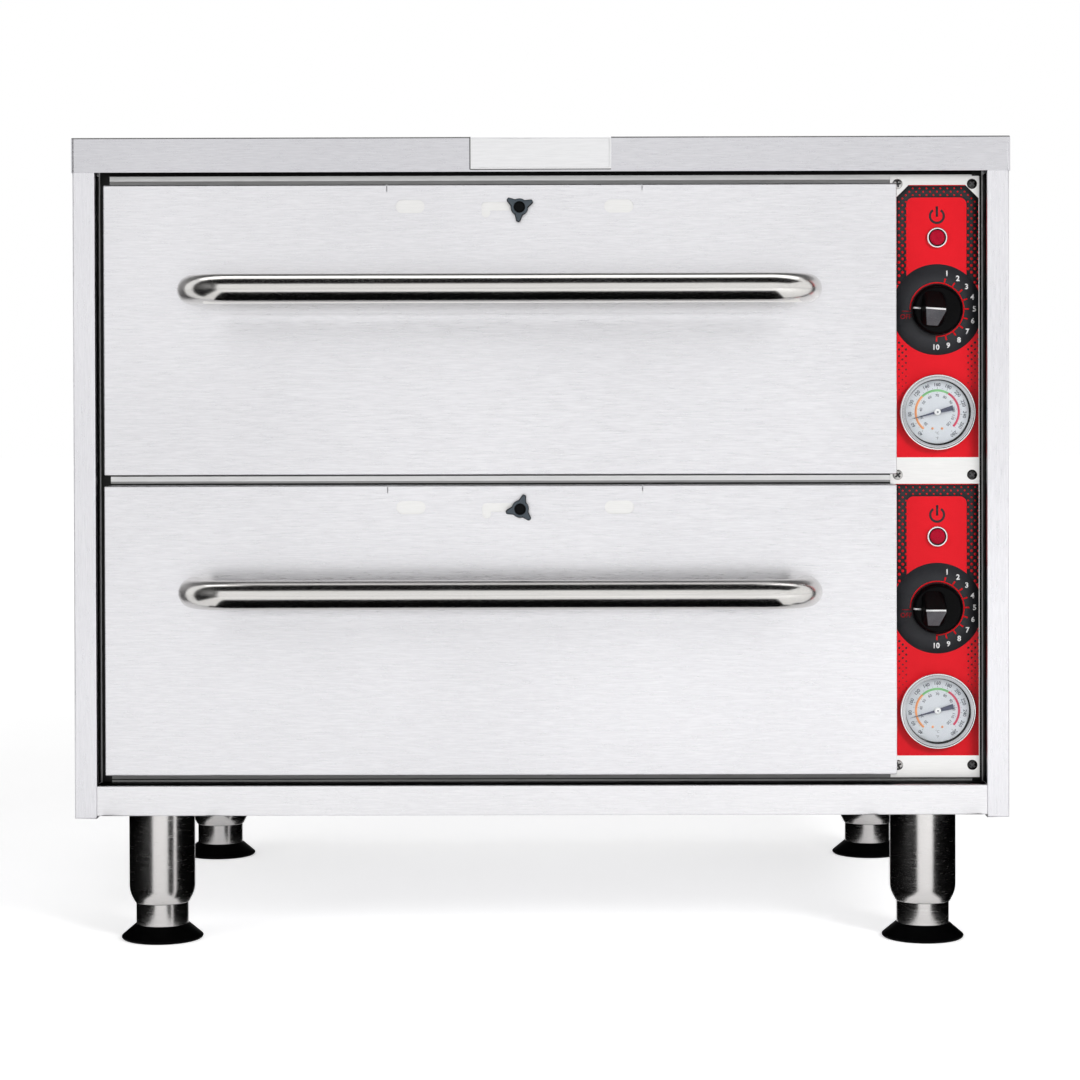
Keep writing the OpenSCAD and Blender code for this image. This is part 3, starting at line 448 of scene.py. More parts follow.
PLATED = {
    "chrome": ((0.82, 0.82, 0.83), (0.90, 0.90, 0.91), 0.06, 0.13, 0.01),
    "shaded chrome throat": ((0.40, 0.41, 0.43), (0.52, 0.53, 0.55), 0.14, 0.24, 0.02),
    "bright screw": ((0.62, 0.62, 0.62), (0.76, 0.76, 0.76), 0.2, 0.34, 0.05),
    "plated screw": ((0.42, 0.41, 0.40), (0.58, 0.57, 0.56), 0.22, 0.34, 0.03),
}
# Plastic, rubber, print and paint, with the shader's specular level
MOULDED = {
    "plated recess shade": (((0.02, 0.02, 0.021), (0.05, 0.05, 0.052), 0.4, 0.55, 0.05), 0.5),
    "black screw": (((0.003, 0.003, 0.0032), (0.009, 0.009, 0.0095), 0.14, 0.24, 0.03), 0.5),
    "black recess highlight": (((0.09, 0.09, 0.095), (0.16, 0.16, 0.165), 0.3, 0.42, 0.05), 0.5),
    "red film": (((0.78, 0.006, 0.015), (0.84, 0.009, 0.020), 0.4, 0.5, 0.01), 0.25),
    "charcoal ink": (((0.023, 0.024, 0.028), (0.033, 0.034, 0.038), 0.4, 0.5, 0.01), 0.25),
    "red ink": (((0.74, 0.003, 0.008), (0.82, 0.006, 0.013), 0.38, 0.46, 0.01), 0.25),
    "dark red ink": (((0.30, 0.004, 0.010), (0.36, 0.007, 0.014), 0.38, 0.46, 0.01), 0.25),
    "white ink": (((0.86, 0.86, 0.86), (0.93, 0.93, 0.93), 0.4, 0.5, 0.01), 0.5),
    "grey ink": (((0.11, 0.12, 0.145), (0.17, 0.18, 0.205), 0.4, 0.5, 0.01), 0.5),
    "orange ink": (((0.78, 0.30, 0.11), (0.86, 0.36, 0.15), 0.4, 0.5, 0.01), 0.5),
    "green ink": (((0.19, 0.50, 0.19), (0.25, 0.58, 0.25), 0.4, 0.5, 0.01), 0.5),
    "crimson ink": (((0.58, 0.05, 0.10), (0.66, 0.07, 0.13), 0.4, 0.5, 0.01), 0.5),
    "dial white": (((0.63, 0.65, 0.69), (0.70, 0.72, 0.76), 0.45, 0.6, 0.02), 0.5),
    "needle blue": (((0.065, 0.07, 0.11), (0.10, 0.105, 0.16), 0.3, 0.42, 0.03), 0.5),
    "dial black": (((0.0008, 0.0008, 0.001), (0.003, 0.003, 0.0034), 0.34, 0.46, 0.03), 0.07),
    "dial painted sheen": (((0.10, 0.105, 0.115), (0.19, 0.195, 0.21), 0.35, 0.45, 0.03), 0.1),
    "knob slate": (((0.035, 0.048, 0.062), (0.065, 0.082, 0.10), 0.35, 0.5, 0.1), 0.5),
    "knob edge": (((0.0015, 0.0018, 0.0022), (0.005, 0.0055, 0.0065), 0.4, 0.55, 0.1), 0.08),
    "rubber": (((0.004, 0.004, 0.0045), (0.013, 0.013, 0.014), 0.42, 0.6, 0.15), 0.5),
    "painted shade black": (((0.003, 0.003, 0.003), (0.010, 0.010, 0.011), 0.5, 0.7, 0.1), 0.5),
    "foot black": (((0.0004, 0.0004, 0.0005), (0.0016, 0.0016, 0.0018), 0.5, 0.65, 0.08), 0.04),
    "lens red": (((0.34, 0.001, 0.016), (0.52, 0.002, 0.03), 0.24, 0.34, 0.02), 0.15),
    "thermostat": (((0.30, 0.28, 0.24), (0.40, 0.38, 0.33), 0.45, 0.6, 0.1), 0.5),
    "nylon": (((0.66, 0.66, 0.62), (0.76, 0.76, 0.72), 0.38, 0.5, 0.08), 0.5),
    "gland black": (((0.008, 0.008, 0.009), (0.02, 0.02, 0.022), 0.4, 0.55, 0.12), 0.5),
}


def make_finishes():
    """All the finishes of the tables, and the coarse wool."""
    for name, (look, stretch) in BRUSHED.items():
        finish(name, "brushed", look, stretch, Metallic=1)
    for name, look in PLATED.items():
        finish(name, "moulded", look, EVEN, Metallic=1)
    for name, (look, shine) in MOULDED.items():
        finish(name, "moulded", look, EVEN, Specular_IOR_Level=shine)
    finish("wool", "moulded", ((0.42, 0.34, 0.14), (0.62, 0.53, 0.28), 0.85, 0.98, 0.6), (420, 420, 420))


def clear_glass():
    """Window glass: clear, with a faint smear in its roughness."""
    made = bpy.data.materials.new("clear glass")
    made.use_nodes = True
    tree = made.node_tree
    shader = tree.nodes["Principled BSDF"]
    place = tree.nodes.new("ShaderNodeTexCoord")
    smear = noise(tree, place.outputs["Object"], 60.0, 2.0)
    tree.links.new(spread(tree, smear, 0.4, 0.7, 0.0, 0.03), shader.inputs["Roughness"])
    shader.inputs["Base Color"].default_value = (0.97, 0.98, 0.98, 1)
    shader.inputs["IOR"].default_value = 1.02
    shader.inputs["Transmission Weight"].default_value = 1
    FINISHES["clear glass"] = made


def zone_shade():
    """A tint inside a box of the object's own coordinates; outside it the colour beneath stays."""
    sockets = [("Place", "Vector"), ("Low", "Vector"), ("High", "Vector"), ("Under", "Color"),
               ("Tint", "Color")]
    group, takes, gives = new_group("zone shade", sockets, [("Colour", "Color")])
    axes = {}
    for label in ("Place", "Low", "High"):
        axes[label] = group.nodes.new("ShaderNodeSeparateXYZ")
        group.links.new(takes.outputs[label], axes[label].inputs[0])
    inside = None
    for axis in range(3):
        past = sums(group, "GREATER_THAN", axes["Place"].outputs[axis], axes["Low"].outputs[axis])
        short = sums(group, "LESS_THAN", axes["Place"].outputs[axis], axes["High"].outputs[axis])
        both = sums(group, "MULTIPLY", past, short)
        inside = both if inside is None else sums(group, "MULTIPLY", inside, both)
    mixed = blended(group, inside, takes.outputs["Under"], takes.outputs["Tint"])
    group.links.new(mixed, gives.inputs["Colour"])
    return group


ZONE = zone_shade()


def zoned(name, zones):
    """Shades boxes of a finish, later ones over earlier; a zone is two corners in millimetres and a grey."""
    tree = FINISHES[name].node_tree
    shader = tree.nodes["Principled BSDF"]
    place = tree.nodes["Texture Coordinate"]
    colour = shader.inputs["Base Color"].links[0].from_socket
    for low, high, grey in zones:
        zone = tree.nodes.new("ShaderNodeGroup")
        zone.node_tree = ZONE
        for label, corner in (("Low", low), ("High", high)):
            zone.inputs[label].default_value = Vector(corner) * 0.001 + Vector((0, FRONT_Y, 0))
        zone.inputs["Tint"].default_value = (grey, grey, grey, 1)
        tree.links.new(place.outputs["Object"], zone.inputs["Place"])
        tree.links.new(colour, zone.inputs["Under"])
        colour = zone.outputs["Colour"]
    tree.links.new(colour, shader.inputs["Base Color"])


def level_zone(low, high, grey):
    """A zone between two heights, as wide and deep as the whole part."""
    return (-FAR, -FAR, low), (FAR, FAR, high), grey


def painted_gap_shade_and_light():
    """Painted shade on the frame's faces deep in the gaps round the drawers, with painted highlights as the lit
    lines between them, and a painted dark line along the lid's top front fold.
    """
    heights = [(626.2, FAR, 0.01), (622.3, 626.2, 0.8), (619, 622.3, 0.24), (382.4, 619, 0.05),
               (378.4, 382.4, 0.85), (376.8, 378.4, 0.35), (138.6, 376.8, 0.03), (136, 138.6, 0.2),
               (135.2, 136, 0.01), (133.5, 135.2, 0.45)]
    zones = [level_zone(*height) for height in heights]
    for side in (-1, 1):
        for near, far, grey in ((350, FAR, 0.02), (357.9, 358.9, 0.6)):
            low, high = sorted((side * near, side * far))
            zones.append(((low, -FAR, -FAR), (high, FAR, FAR), grey))
    zoned("frame steel", zones)
    # Painted shade: a dark line along the lid's top front fold
    zoned("shaded lid steel", [((-FAR, -FAR, 654.9), (FAR, -0.1, FAR), 0.22)])


make_finishes()
clear_glass()
painted_gap_shade_and_light()

# Solids that keep their own shape, by finish; those of the second table are there once in every row
CARRIED = {
    "side steel": ["back_panel"],
    "frame steel": ["front_frame"],
    "mill steel": ["cavity_liner", "cavity_shelf", "control_bulkhead", "slide_rails"],
    "plate steel": ["control_panel"],
    "bright screw": ["body_screws"],
    "rubber": ["drawer_bumpers"],
    "dial white": ["thermometer_dials"],
    "clear glass": ["thermometer_glasses"],
    "wool": ["insulation_batts"],
    "thermostat": ["thermostats"],
    "heater": ["heating_elements"],
    "gland black": ["cord_gland"],
}
CARRIED_PER_ROW = {
    "mill steel": ["drawer_backing", "carriage"],
    "plate steel": ["vent_slide"],
    "bright screw": ["handle_bolts"],
    "red film": ["label"],
    "needle blue": ["needle"],
    "nylon": ["front_rollers", "rear_rollers"],
}


def dress_carried():
    """The solids that keep their own shape take their finish."""
    pairs = [(name, node) for name, nodes in CARRIED.items() for node in nodes]
    for name, nodes in CARRIED_PER_ROW.items():
        pairs += [(name, row + "_" + node) for node in nodes for row in ROWS]
    for name, node in pairs:
        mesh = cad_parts[node].data
        mesh.materials.clear()
        mesh.materials.append(FINISHES[name])


# Cabinet

def cabinet_sheets():
    """The cabinet's and the drawers' folded sheets, each with its bend radius."""
    folded("left_side_panel", "left_side_sheet", 1.1, "side steel", "cabinet")
    folded("right_side_panel", "right_side_sheet", 1.1, "side steel", "cabinet")
    folded("top_cover", "lid_sheet", 1.2, "shaded lid steel", "cabinet", 3.0)
    folded("base_pan", "base_sheet", 1.1, "rail steel", "cabinet")
    for row in ROWS:
        folded(row + "_drawer_front", row + "_door_sheet", 1.2, "door steel", row + "_drawer")


def opening_shade_film():
    """Thin black film standing in for the shade deep in the opening's sides and on the rail's top, a painted
    shade: three flat strips, each a grid of two edges along its length."""
    along = np.linspace(0, 1, 9)[:, None]

    def strip(start, end, step):
        near = np.array(start, float) + along * (np.array(end, float) - start)
        return np.stack([near, near + step], 0).reshape(-1, 3), grid_faces(2, len(along))

    sides = [strip((-358.95, 7.5, 134), (-358.95, 7.5, 626), (0, 13.3, 0)),
             strip((358.95, 1.4, 134), (358.95, 1.4, 626), (0, 19.4, 0)),
             strip((-358.8, 1.8, 133.6), (358.8, 1.8, 133.6), (0, 19, 0))]
    piece("opening_shade_film", joined(*sides), "foot black", "cabinet", closed=False, skin=0.04)


def blank_nameplate():
    """A bare plate with a raised rim: rounded rectangles stacked from the back edge over the rim to the
    field."""
    low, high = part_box("nameplate")
    half_w = (high.x - low.x) * 500
    half_h = (high.z - low.z) * 500
    thick = (high.y - low.y) * 1000
    front = (low.y - FRONT_Y) * 1000
    steps = np.array([[0, 0.8, 0], [0, 0.8, thick - 0.2], [0.2, 0.7, thick], [1.5, 0.6, thick],
                      [1.8, 0.5, thick - 0.35], [2.2, 0.5, thick - 0.35]])
    loops = np.stack([half_w - steps[:, 0], half_h - steps[:, 0], steps[:, 1], steps[:, 2]], -1)
    field = [[half_w * 0.5, half_h * 0.3, 0.3, thick - 0.35], [0.01, 0.01, 0.005, thick - 0.35]]
    back = [[0.01, 0.01, 0.005, 0], [half_w * 0.5, half_h * 0.5, 0.3, 0]]
    p, faces = box_loops(np.vstack([back, loops, field]), 4)
    mid_x = (low.x + high.x) * 500
    mid_z = (low.z + high.z) * 500
    spot = np.stack([mid_x + p[:, 0], front + thick - p[:, 2], mid_z + p[:, 1]], -1)
    left, foot = mid_x - half_w, mid_z - half_h
    # Painted shadow along the plate's foot and left edge, with a painted highlight just above the foot
    zoned("name steel", [level_zone(foot + 0.7, foot + 1.8, 0.96), level_zone(-FAR, foot + 0.7, 0.1),
                         ((-FAR, -FAR, foot), (left + 0.9, FAR, FAR), 0.12)])
    piece("blank_nameplate", (spot, faces), "name steel", "cabinet", ["nameplate"])


# Drawers

def handle_tube(row):
    """A round bar bent twice: leg out of the door, quarter bend, long run, quarter bend and leg back, with the
    sideways normal turning through each bend."""
    half, out, bend, radius = 246.25, 45.0, 33.0, 11.75
    z = ROWS[row] + HANDLE_UP
    turn = np.linspace(0, pi / 2, 14)
    corner_x = -half + bend - bend * np.cos(turn)
    corner_v = -(out - bend) - bend * np.sin(turn)
    leg = np.linspace(0, -(out - bend), 4)[:-1]
    left_x = np.concatenate([np.full(3, -half), corner_x])
    left_v = np.concatenate([leg, corner_v])
    angle = np.concatenate([np.zeros(3), turn])
    run = np.linspace(-half + bend, half - bend, 24)[1:-1]
    x = np.concatenate([left_x, run, -left_x[::-1]])
    v = np.concatenate([left_v, np.full(len(run), -out), left_v[::-1]])
    angle = np.concatenate([angle, np.full(len(run), pi / 2), pi - angle[::-1]])
    normals = np.stack([-np.cos(angle), -np.sin(angle)], -1)
    path = np.stack([DRAWER_X + x, v, np.full(len(x), z)], -1)
    points, faces = bent_tube(path, normals, radius)
    first = list(range(TUBE_SIDES))
    last = list(range(len(points) - TUBE_SIDES, len(points)))
    faces = faces + [first[::-1], last]
    piece(row + "_handle_bar", (points, faces), "handle satin", row + "_drawer",
          [row + "_handle"])


def vent_grip(row, turned_by):
    """A three-lobed star: the outline radius is the hub's, or along a lobe the smaller of its flat end and its
    sloping flank; stacked outlines make the bevelled rim, and the dish is round."""
    psi = np.linspace(0, 2 * pi, 240, endpoint=False)
    off = np.abs((psi - radians(turned_by) + pi / 3) % (2 * pi / 3) - pi / 3)
    flank = 5.32 / (np.sin(off) + 0.337 * np.cos(off))
    outline = np.maximum(7.0, np.minimum(11.8 / np.cos(off), flank))
    kernel = np.hanning(9)
    kernel = kernel / kernel.sum()
    soft = np.convolve(np.concatenate([outline[-4:], outline, outline[:4]]), kernel, "valid")
    rim = np.array([[1.0, 0.0], [0.0, 0.5], [0.0, 6.6], [0.25, 7.4], [0.9, 7.9], [1.15, 8.0]])
    dish = np.array([[4.7, 8.0], [4.5, 7.7], [4.2, 6.4], [3.8, 6.1], [0.0, 6.1]])
    r = np.vstack([0 * soft, soft - rim[:, :1], dish[:, :1] + 0 * soft])
    h = np.concatenate([[0.0], rim[:, 1], dish[:, 1]])[:, None] + 0 * psi[None, :]
    x, z = DRAWER_X + 16, ROWS[row] + VENT_UP - VENT_DROP
    points = np.stack([x + r * np.cos(psi), -0.3 - h, z + r * np.sin(psi)], -1).reshape(-1, 3)
    end = (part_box(row + "_vent_knob")[1].y - FRONT_Y) * 1000
    stud = turned_front([(0, -end), (2.2, -end), (2.2, 0.25), (0, 0.25)], x, 0, z, 24)
    nut = turned_front([(2.25, -end + 0.3), (4.4, -end + 0.3), (4.4, -end + 4), (2.25, -end + 4),
                        (2.25, -end + 0.3)], x, 0, z, 6)
    star = (points, grid_faces(len(r), 240, True))
    made = piece(row + "_vent_star", joined(star, stud, nut), "knob edge", row + "_vent_grip",
                 [row + "_vent_knob"])
    _, facing = face_table(made)
    recolour(made, "knob slate", (off_axis(made, x, z) > 4.6) & (facing[:, 1] < -0.78))


def food_pan(row):
    """A drawn pan: rounded rectangles run up the outside, round the rolled rim, down the inside and over the
    bottom, with soft bends where walls, floor and rim meet."""
    low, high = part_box(row + "_pan")
    half_w, half_d = (high.x - low.x) * 500, (high.y - low.y) * 500
    bottom, top = low.z * 1000, high.z * 1000
    wall, lip, corner, bend = 1.0, 14.0, 32.0, 12.0
    outer = rounded([(-lip - 60, bottom), (-lip - 0.0, bottom), (-lip, top - wall), (0, top - wall), (0, top),
                     (-lip - wall, top), (-lip - wall, bottom + wall), (-lip - 60, bottom + wall)],
                    [0, bend + wall, 0.5, 0.3, 0.3, 3.0, bend, 0], 6)
    inset = outer[:, 0]
    radius = np.clip(corner + inset * 0.35, 6, corner)
    loops = np.stack([half_w + inset, half_d + inset, radius, outer[:, 1]], -1)
    first = [[0.01, 0.01, 0.005, bottom]]
    last = [[0.01, 0.01, 0.005, bottom + wall]]
    p, faces = box_loops(np.vstack([first, loops, last]), 7)
    mid_x = (low.x + high.x) * 500
    mid_v = ((low.y + high.y) / 2 - FRONT_Y) * 1000
    piece(row + "_food_pan", (p + [mid_x, mid_v, 0], faces), "pan satin", row + "_drawer",
          [row + "_pan"])


# Legs

def legs():
    """Four turned legs: a tube with a drawn-in lower end, a slimmer screw-in tube, and a flared foot."""
    tube = np.vstack([rounded([(21.9, 109), (27, 109), (27, 39.5), (22.6, 30.7), (21.9, 30.5)],
                              [0.4, 0.6, 6.0, 0.6, 0.2], 8), [(21.9, 109)]])
    insert = rounded([(0, 12.5), (21.5, 12.5), (21.5, 80.5), (0, 80.5)], [0, 0.3, 1.0, 0], 5)
    foot = rounded([(0, 0), (32.4, 0), (34, 2.2), (22.6, 11.9), (21.6, 12.5), (0, 12.5)],
                   [0, 1.4, 1.2, 0.8, 0.3, 0], 6)
    tubes = []
    for (side, end), (x, v) in LEGS.items():
        spot = end + "_" + side
        tubes.append(turned_up(tube, x, v))
        piece(spot + "_screw_tube", turned_up(insert, x, v), "leg satin", spot + "_leg_foot",
              [spot + "_insert"])
        piece(spot + "_flared_foot", turned_up(foot, x, v), "foot black", spot + "_leg_foot",
              [spot + "_foot"])
    piece("turned_leg_tubes", joined(*tubes), "leg satin", "cabinet", ["leg_tubes"])


# Controls

def dial_grip(row, tilt):
    """A skirted knob: a turned skirt, and a ridge like a hipped roof, rounded rectangles that narrow evenly
    from a wide soft foot to a thin crest while they move along it; a white line runs along the crest and the
    skirt."""
    z = ROWS[row] + DIAL_UP
    base = 2.8
    skirt = rounded([(0, 0), (20.6, 0), (20.3, 3.0), (18.2, 6.6), (0, 7.0)], [0, 0.4, 2.0, 1.5, 0], 7)
    t = np.linspace(0, 1, 10)
    loops = np.stack([9.5 - 0.8 * t, 14.8 - 13.7 * t, 7.0 - 6.2 * t, 6.7 + 15.0 * t], -1)
    crest = [[8.5, 0.9, 0.6, 21.95], [0.02, 0.02, 0.01, 22.0]]
    foot = [[0.02, 0.02, 0.01, 6.7]]
    p, faces = box_loops(np.vstack([foot, loops, crest]), 8)
    along = np.interp(p[:, 2], [6.7, 22.0], [-4.4, -3.7])
    c, s = cos(radians(tilt)), sin(radians(tilt))
    turn = np.array([[c, s], [-s, c]])
    ab = np.stack([p[:, 0] + along, p[:, 1]], -1) @ turn
    grip = (np.stack([CONTROL_X + ab[:, 0], PANEL_V - base - p[:, 2], z + ab[:, 1]], -1), faces)
    body = turned_front(skirt, CONTROL_X, PANEL_V - base, z)
    made = piece(row + "_dial_grip", joined(body, grip), "dial black", row + "_dial",
                 [row + "_dial_knob"], sharp=28)
    centre, facing = face_table(made)
    # The ridge's lower flank takes a lighter grey: a painted reflection
    flank = (facing[:, 2] < -0.4) & (facing[:, 1] < -0.4) & (np.abs(facing[:, 0]) < 0.2)
    flank &= centre[:, 1] < PANEL_V - base - 8
    recolour(made, "dial painted sheen", flank)
    reach = np.array([-14.2, -17.0, -18.4, -19.4, -20.2])
    lift = np.array([7.1, 6.95, 6.6, 5.2, 3.4])
    strip = np.stack([np.repeat(reach, 2), np.tile([-0.7, 0.7], 5)], -1) @ turn
    mark = np.stack([CONTROL_X + strip[:, 0], PANEL_V - base - np.repeat(lift, 2), z + strip[:, 1]], -1)
    crest_line = np.array([[-12.2, -0.7], [3.9, -0.7], [3.9, 0.7], [-12.2, 0.7]]) @ turn
    lines = joined(flat(crest_line, [[0, 1, 2, 3]], CONTROL_X, PANEL_V - base - 22.02, z),
                   (mark, grid_faces(5, 2)))
    piece(row + "_dial_line", lines, "white ink", row + "_dial", closed=False, skin=0.05)


def cross_heads(name, x, leans, head, recess):
    """Three domed screw heads above one another with their shanks: rings over a circle, whose height is a dome
    less a cross, each arm of it falling from soft edges to a level floor."""
    end = (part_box("panel_screws")[1].y - FRONT_Y) * 1000 - PANEL_V
    heights = np.array([618.5, 382.5, 146.5])
    r = np.concatenate([np.linspace(0, 4.1, 34), [4.1, 1.6, 1.6, 0]])[:, None]
    psi = np.linspace(0, 2 * pi, 96, endpoint=False)[None, :]
    shapes = []
    for z, lean in zip(heights, leans):
        a, b = r * np.cos(psi - radians(lean)), r * np.sin(psi - radians(lean))
        arm = np.maximum(np.abs(a), np.abs(b))
        aside = np.minimum(np.abs(a), np.abs(b))
        cut = np.clip((0.75 - aside) / 0.25, 0, 1) * np.clip((2.7 - arm) / 0.5, 0, 1)
        h = 0.35 + 1.15 * np.maximum(0, 1 - (r / 4.1) ** 2) ** 0.6 - 0.9 * cut
        h[-4:] = np.array([0, 0, -end, -end])[:, None]
        spot = np.stack([x + r * np.cos(psi), PANEL_V - h, z + r * np.sin(psi)], -1).reshape(-1, 3)
        shapes.append((spot, grid_faces(len(r), 96, True)))
    made = piece(name, joined(*shapes), head, "cabinet", ["panel_screws"])
    centre, _ = face_table(made)
    near = np.argmin(np.abs(centre[:, 2:] - heights), 1)
    lean = np.radians(np.array(leans))[near]
    across, up = centre[:, 0] - x, centre[:, 2] - heights[near]
    a, b = np.cos(lean) * across + np.sin(lean) * up, np.cos(lean) * up - np.sin(lean) * across
    arm = np.maximum(np.abs(a), np.abs(b))
    aside = np.minimum(np.abs(a), np.abs(b))
    # The cross recess is coloured apart: painted shade in the plated heads, a painted highlight in the black
    # heads
    recolour(made, recess, (arm < 2.6) & (aside < 0.7))


def pilot_light(row):
    """A chrome ring with a rolled edge, and a domed lens whose height also carries small diamond pyramids."""
    z = ROWS[row] + PILOT_UP
    ring = rounded([(0, -18), (5.5, -18), (5.5, 0.3), (8.4, 0.3), (8.4, 3.0), (6.9, 3.0), (6.9, 1.2), (0, 1.2)],
                   [0, 0.5, 0, 0.3, 1.2, 0.5, 0, 0], 6)
    made = piece(row + "_pilot_ring", turned_front(ring, CONTROL_X, PANEL_V, z), "chrome", "cabinet",
                 ["pilot_bezels"])
    # The cup's floor inside the ring is black: a painted shadow between the ring and the lens
    recolour(made, "painted shade black", off_axis(made, CONTROL_X, z) < 6.95)
    r = np.concatenate([np.linspace(0, 5.9, 44), [6.1, 6.1, 0]])[:, None]
    psi = np.linspace(0, 2 * pi, 120, endpoint=False)[None, :]
    a, b = r * np.cos(psi), r * np.sin(psi)
    pitch = 0.75
    facet = np.abs(((a + b) / pitch) % 2 - 1) + np.abs(((a - b) / pitch) % 2 - 1)
    h = 2.7 + 1.3 * np.sqrt(np.maximum(0, 1 - (r / 6.3) ** 2)) + 0.14 * (facet - 1) * (r < 5.7)
    h[-3], h[-2], h[-1] = 2.8, 1.25, 1.25
    points = np.stack([CONTROL_X + a, PANEL_V - h, z + b], -1).reshape(-1, 3)
    piece(row + "_pilot_lens", (points, grid_faces(len(r), 120, True)), "lens red", "cabinet",
          ["pilot_lenses"], sharp=20)


def gauge_case(row):
    """A turned thermometer case: barrel through the panel, rolled outer bezel, sloping throat and inner cup,
    with the boss and pivot in the middle, and a black ring between the glass and the dial that stands in for
    the shaded inner wall, a painted shade."""
    z = ROWS[row] + GAUGE_UP
    shell = rounded([(0, -16), (28, -16), (28, 0.3), (31, 0.3), (31, 5.2), (30.5, 7.2), (29.5, 7.3),
                     (29.1, 6.6), (28.2, 6.75), (27.0, 6.6), (26.4, 6.3), (27.4, 6.3), (27.4, -14.8),
                     (4, -14.8), (4, 0.3), (1, 0.3), (1, 3.7), (0, 3.7)],
                    [0, 1.0, 0, 0.3, 1.2, 0.6, 0.3, 0.2, 0.4, 0.4, 0, 0, 0, 0, 0, 0, 0.2, 0], 6)
    made = piece(row + "_gauge_case", turned_front(shell, CONTROL_X, PANEL_V, z, 96), "chrome", "cabinet",
                 ["thermometer_cases"])
    # The throat inside the bezel takes a darker chrome: a painted reflection of dark surroundings
    recolour(made, "shaded chrome throat", off_axis(made, CONTROL_X, z) < 29.4)
    # A black ring under the glass's edge: painted shade for the inner wall
    shade_ring = rounded([(25.6, 1.35), (27.35, 1.35), (27.35, 2.2), (25.9, 2.0), (25.6, 1.35)],
                   [0, 0, 0.2, 0.3, 0], 4)
    piece(row + "_gauge_shade_ring", turned_front(shade_ring, CONTROL_X, PANEL_V, z, 96), "painted shade black", "cabinet")
    cap = rounded([(0, 3.75), (2.7, 3.15), (2.7, 3.9), (2.1, 4.3), (0.8, 4.38), (0, 4.4)],
                  [0, 0.1, 0.4, 0.6, 0, 0], 5)
    made = piece(row + "_needle_cap", turned_front(cap, CONTROL_X, PANEL_V, z, 40), "white ink",
                 row + "_pointer")
    recolour(made, "grey ink", off_axis(made, CONTROL_X, z) < 0.78)


def gauge_print(row):
    """Scale rings, ticks and numbers of the thermometer, laid flat on the dial disc."""
    z = ROWS[row] + GAUGE_UP
    v = PANEL_V - 1.31

    def lay(name, shapes, ink):
        drawn = [flat(points, faces, CONTROL_X, v, z) for points, faces in shapes]
        piece(row + name, joined(*drawn), ink, "cabinet", closed=False, skin=0.03)

    lay("_scale_low", [band(16.6, 18.4, 231, 134)], "orange ink")
    lay("_scale_mid", [band(16.6, 18.4, 134, 59)], "green ink")
    lay("_scale_high", [band(16.6, 18.4, 59, -42)], "crimson ink")
    outer = np.linspace(232, -53, 13)
    inner = np.linspace(226, -46, 11)
    marks = [lettering(str(40 + 20 * i), 2.9, 22.3 * cos(radians(a)), 22.3 * sin(radians(a)), a - 90, 0.025)
             for i, a in enumerate(outer)]
    marks += [lettering(str(20 + 10 * i), 2.3, 13.4 * cos(radians(a)), 13.4 * sin(radians(a)), a - 90, 0.025)
              for i, a in enumerate(inner)]
    marks += [band(18.9, 20.2, a - 0.5, a + 0.5, 2) for a in outer]
    marks += [band(19.0, 19.7, a - 0.4, a + 0.4, 2) for a in (outer[1:] + outer[:-1]) / 2]
    marks += [band(15.3, 16.2, a - 0.5, a + 0.5, 2) for a in inner]
    marks += [lettering("°C", 2.2, 0, -17.0), lettering("°F", 2.2, 0, -21.2)]
    lay("_scale_numbers", marks, "grey ink")
    lay("_scale_dots", [dots(np.array([[-3.9, -13.4], [3.9, -13.4]]), [1.0, 1.0], 20)], "orange ink")


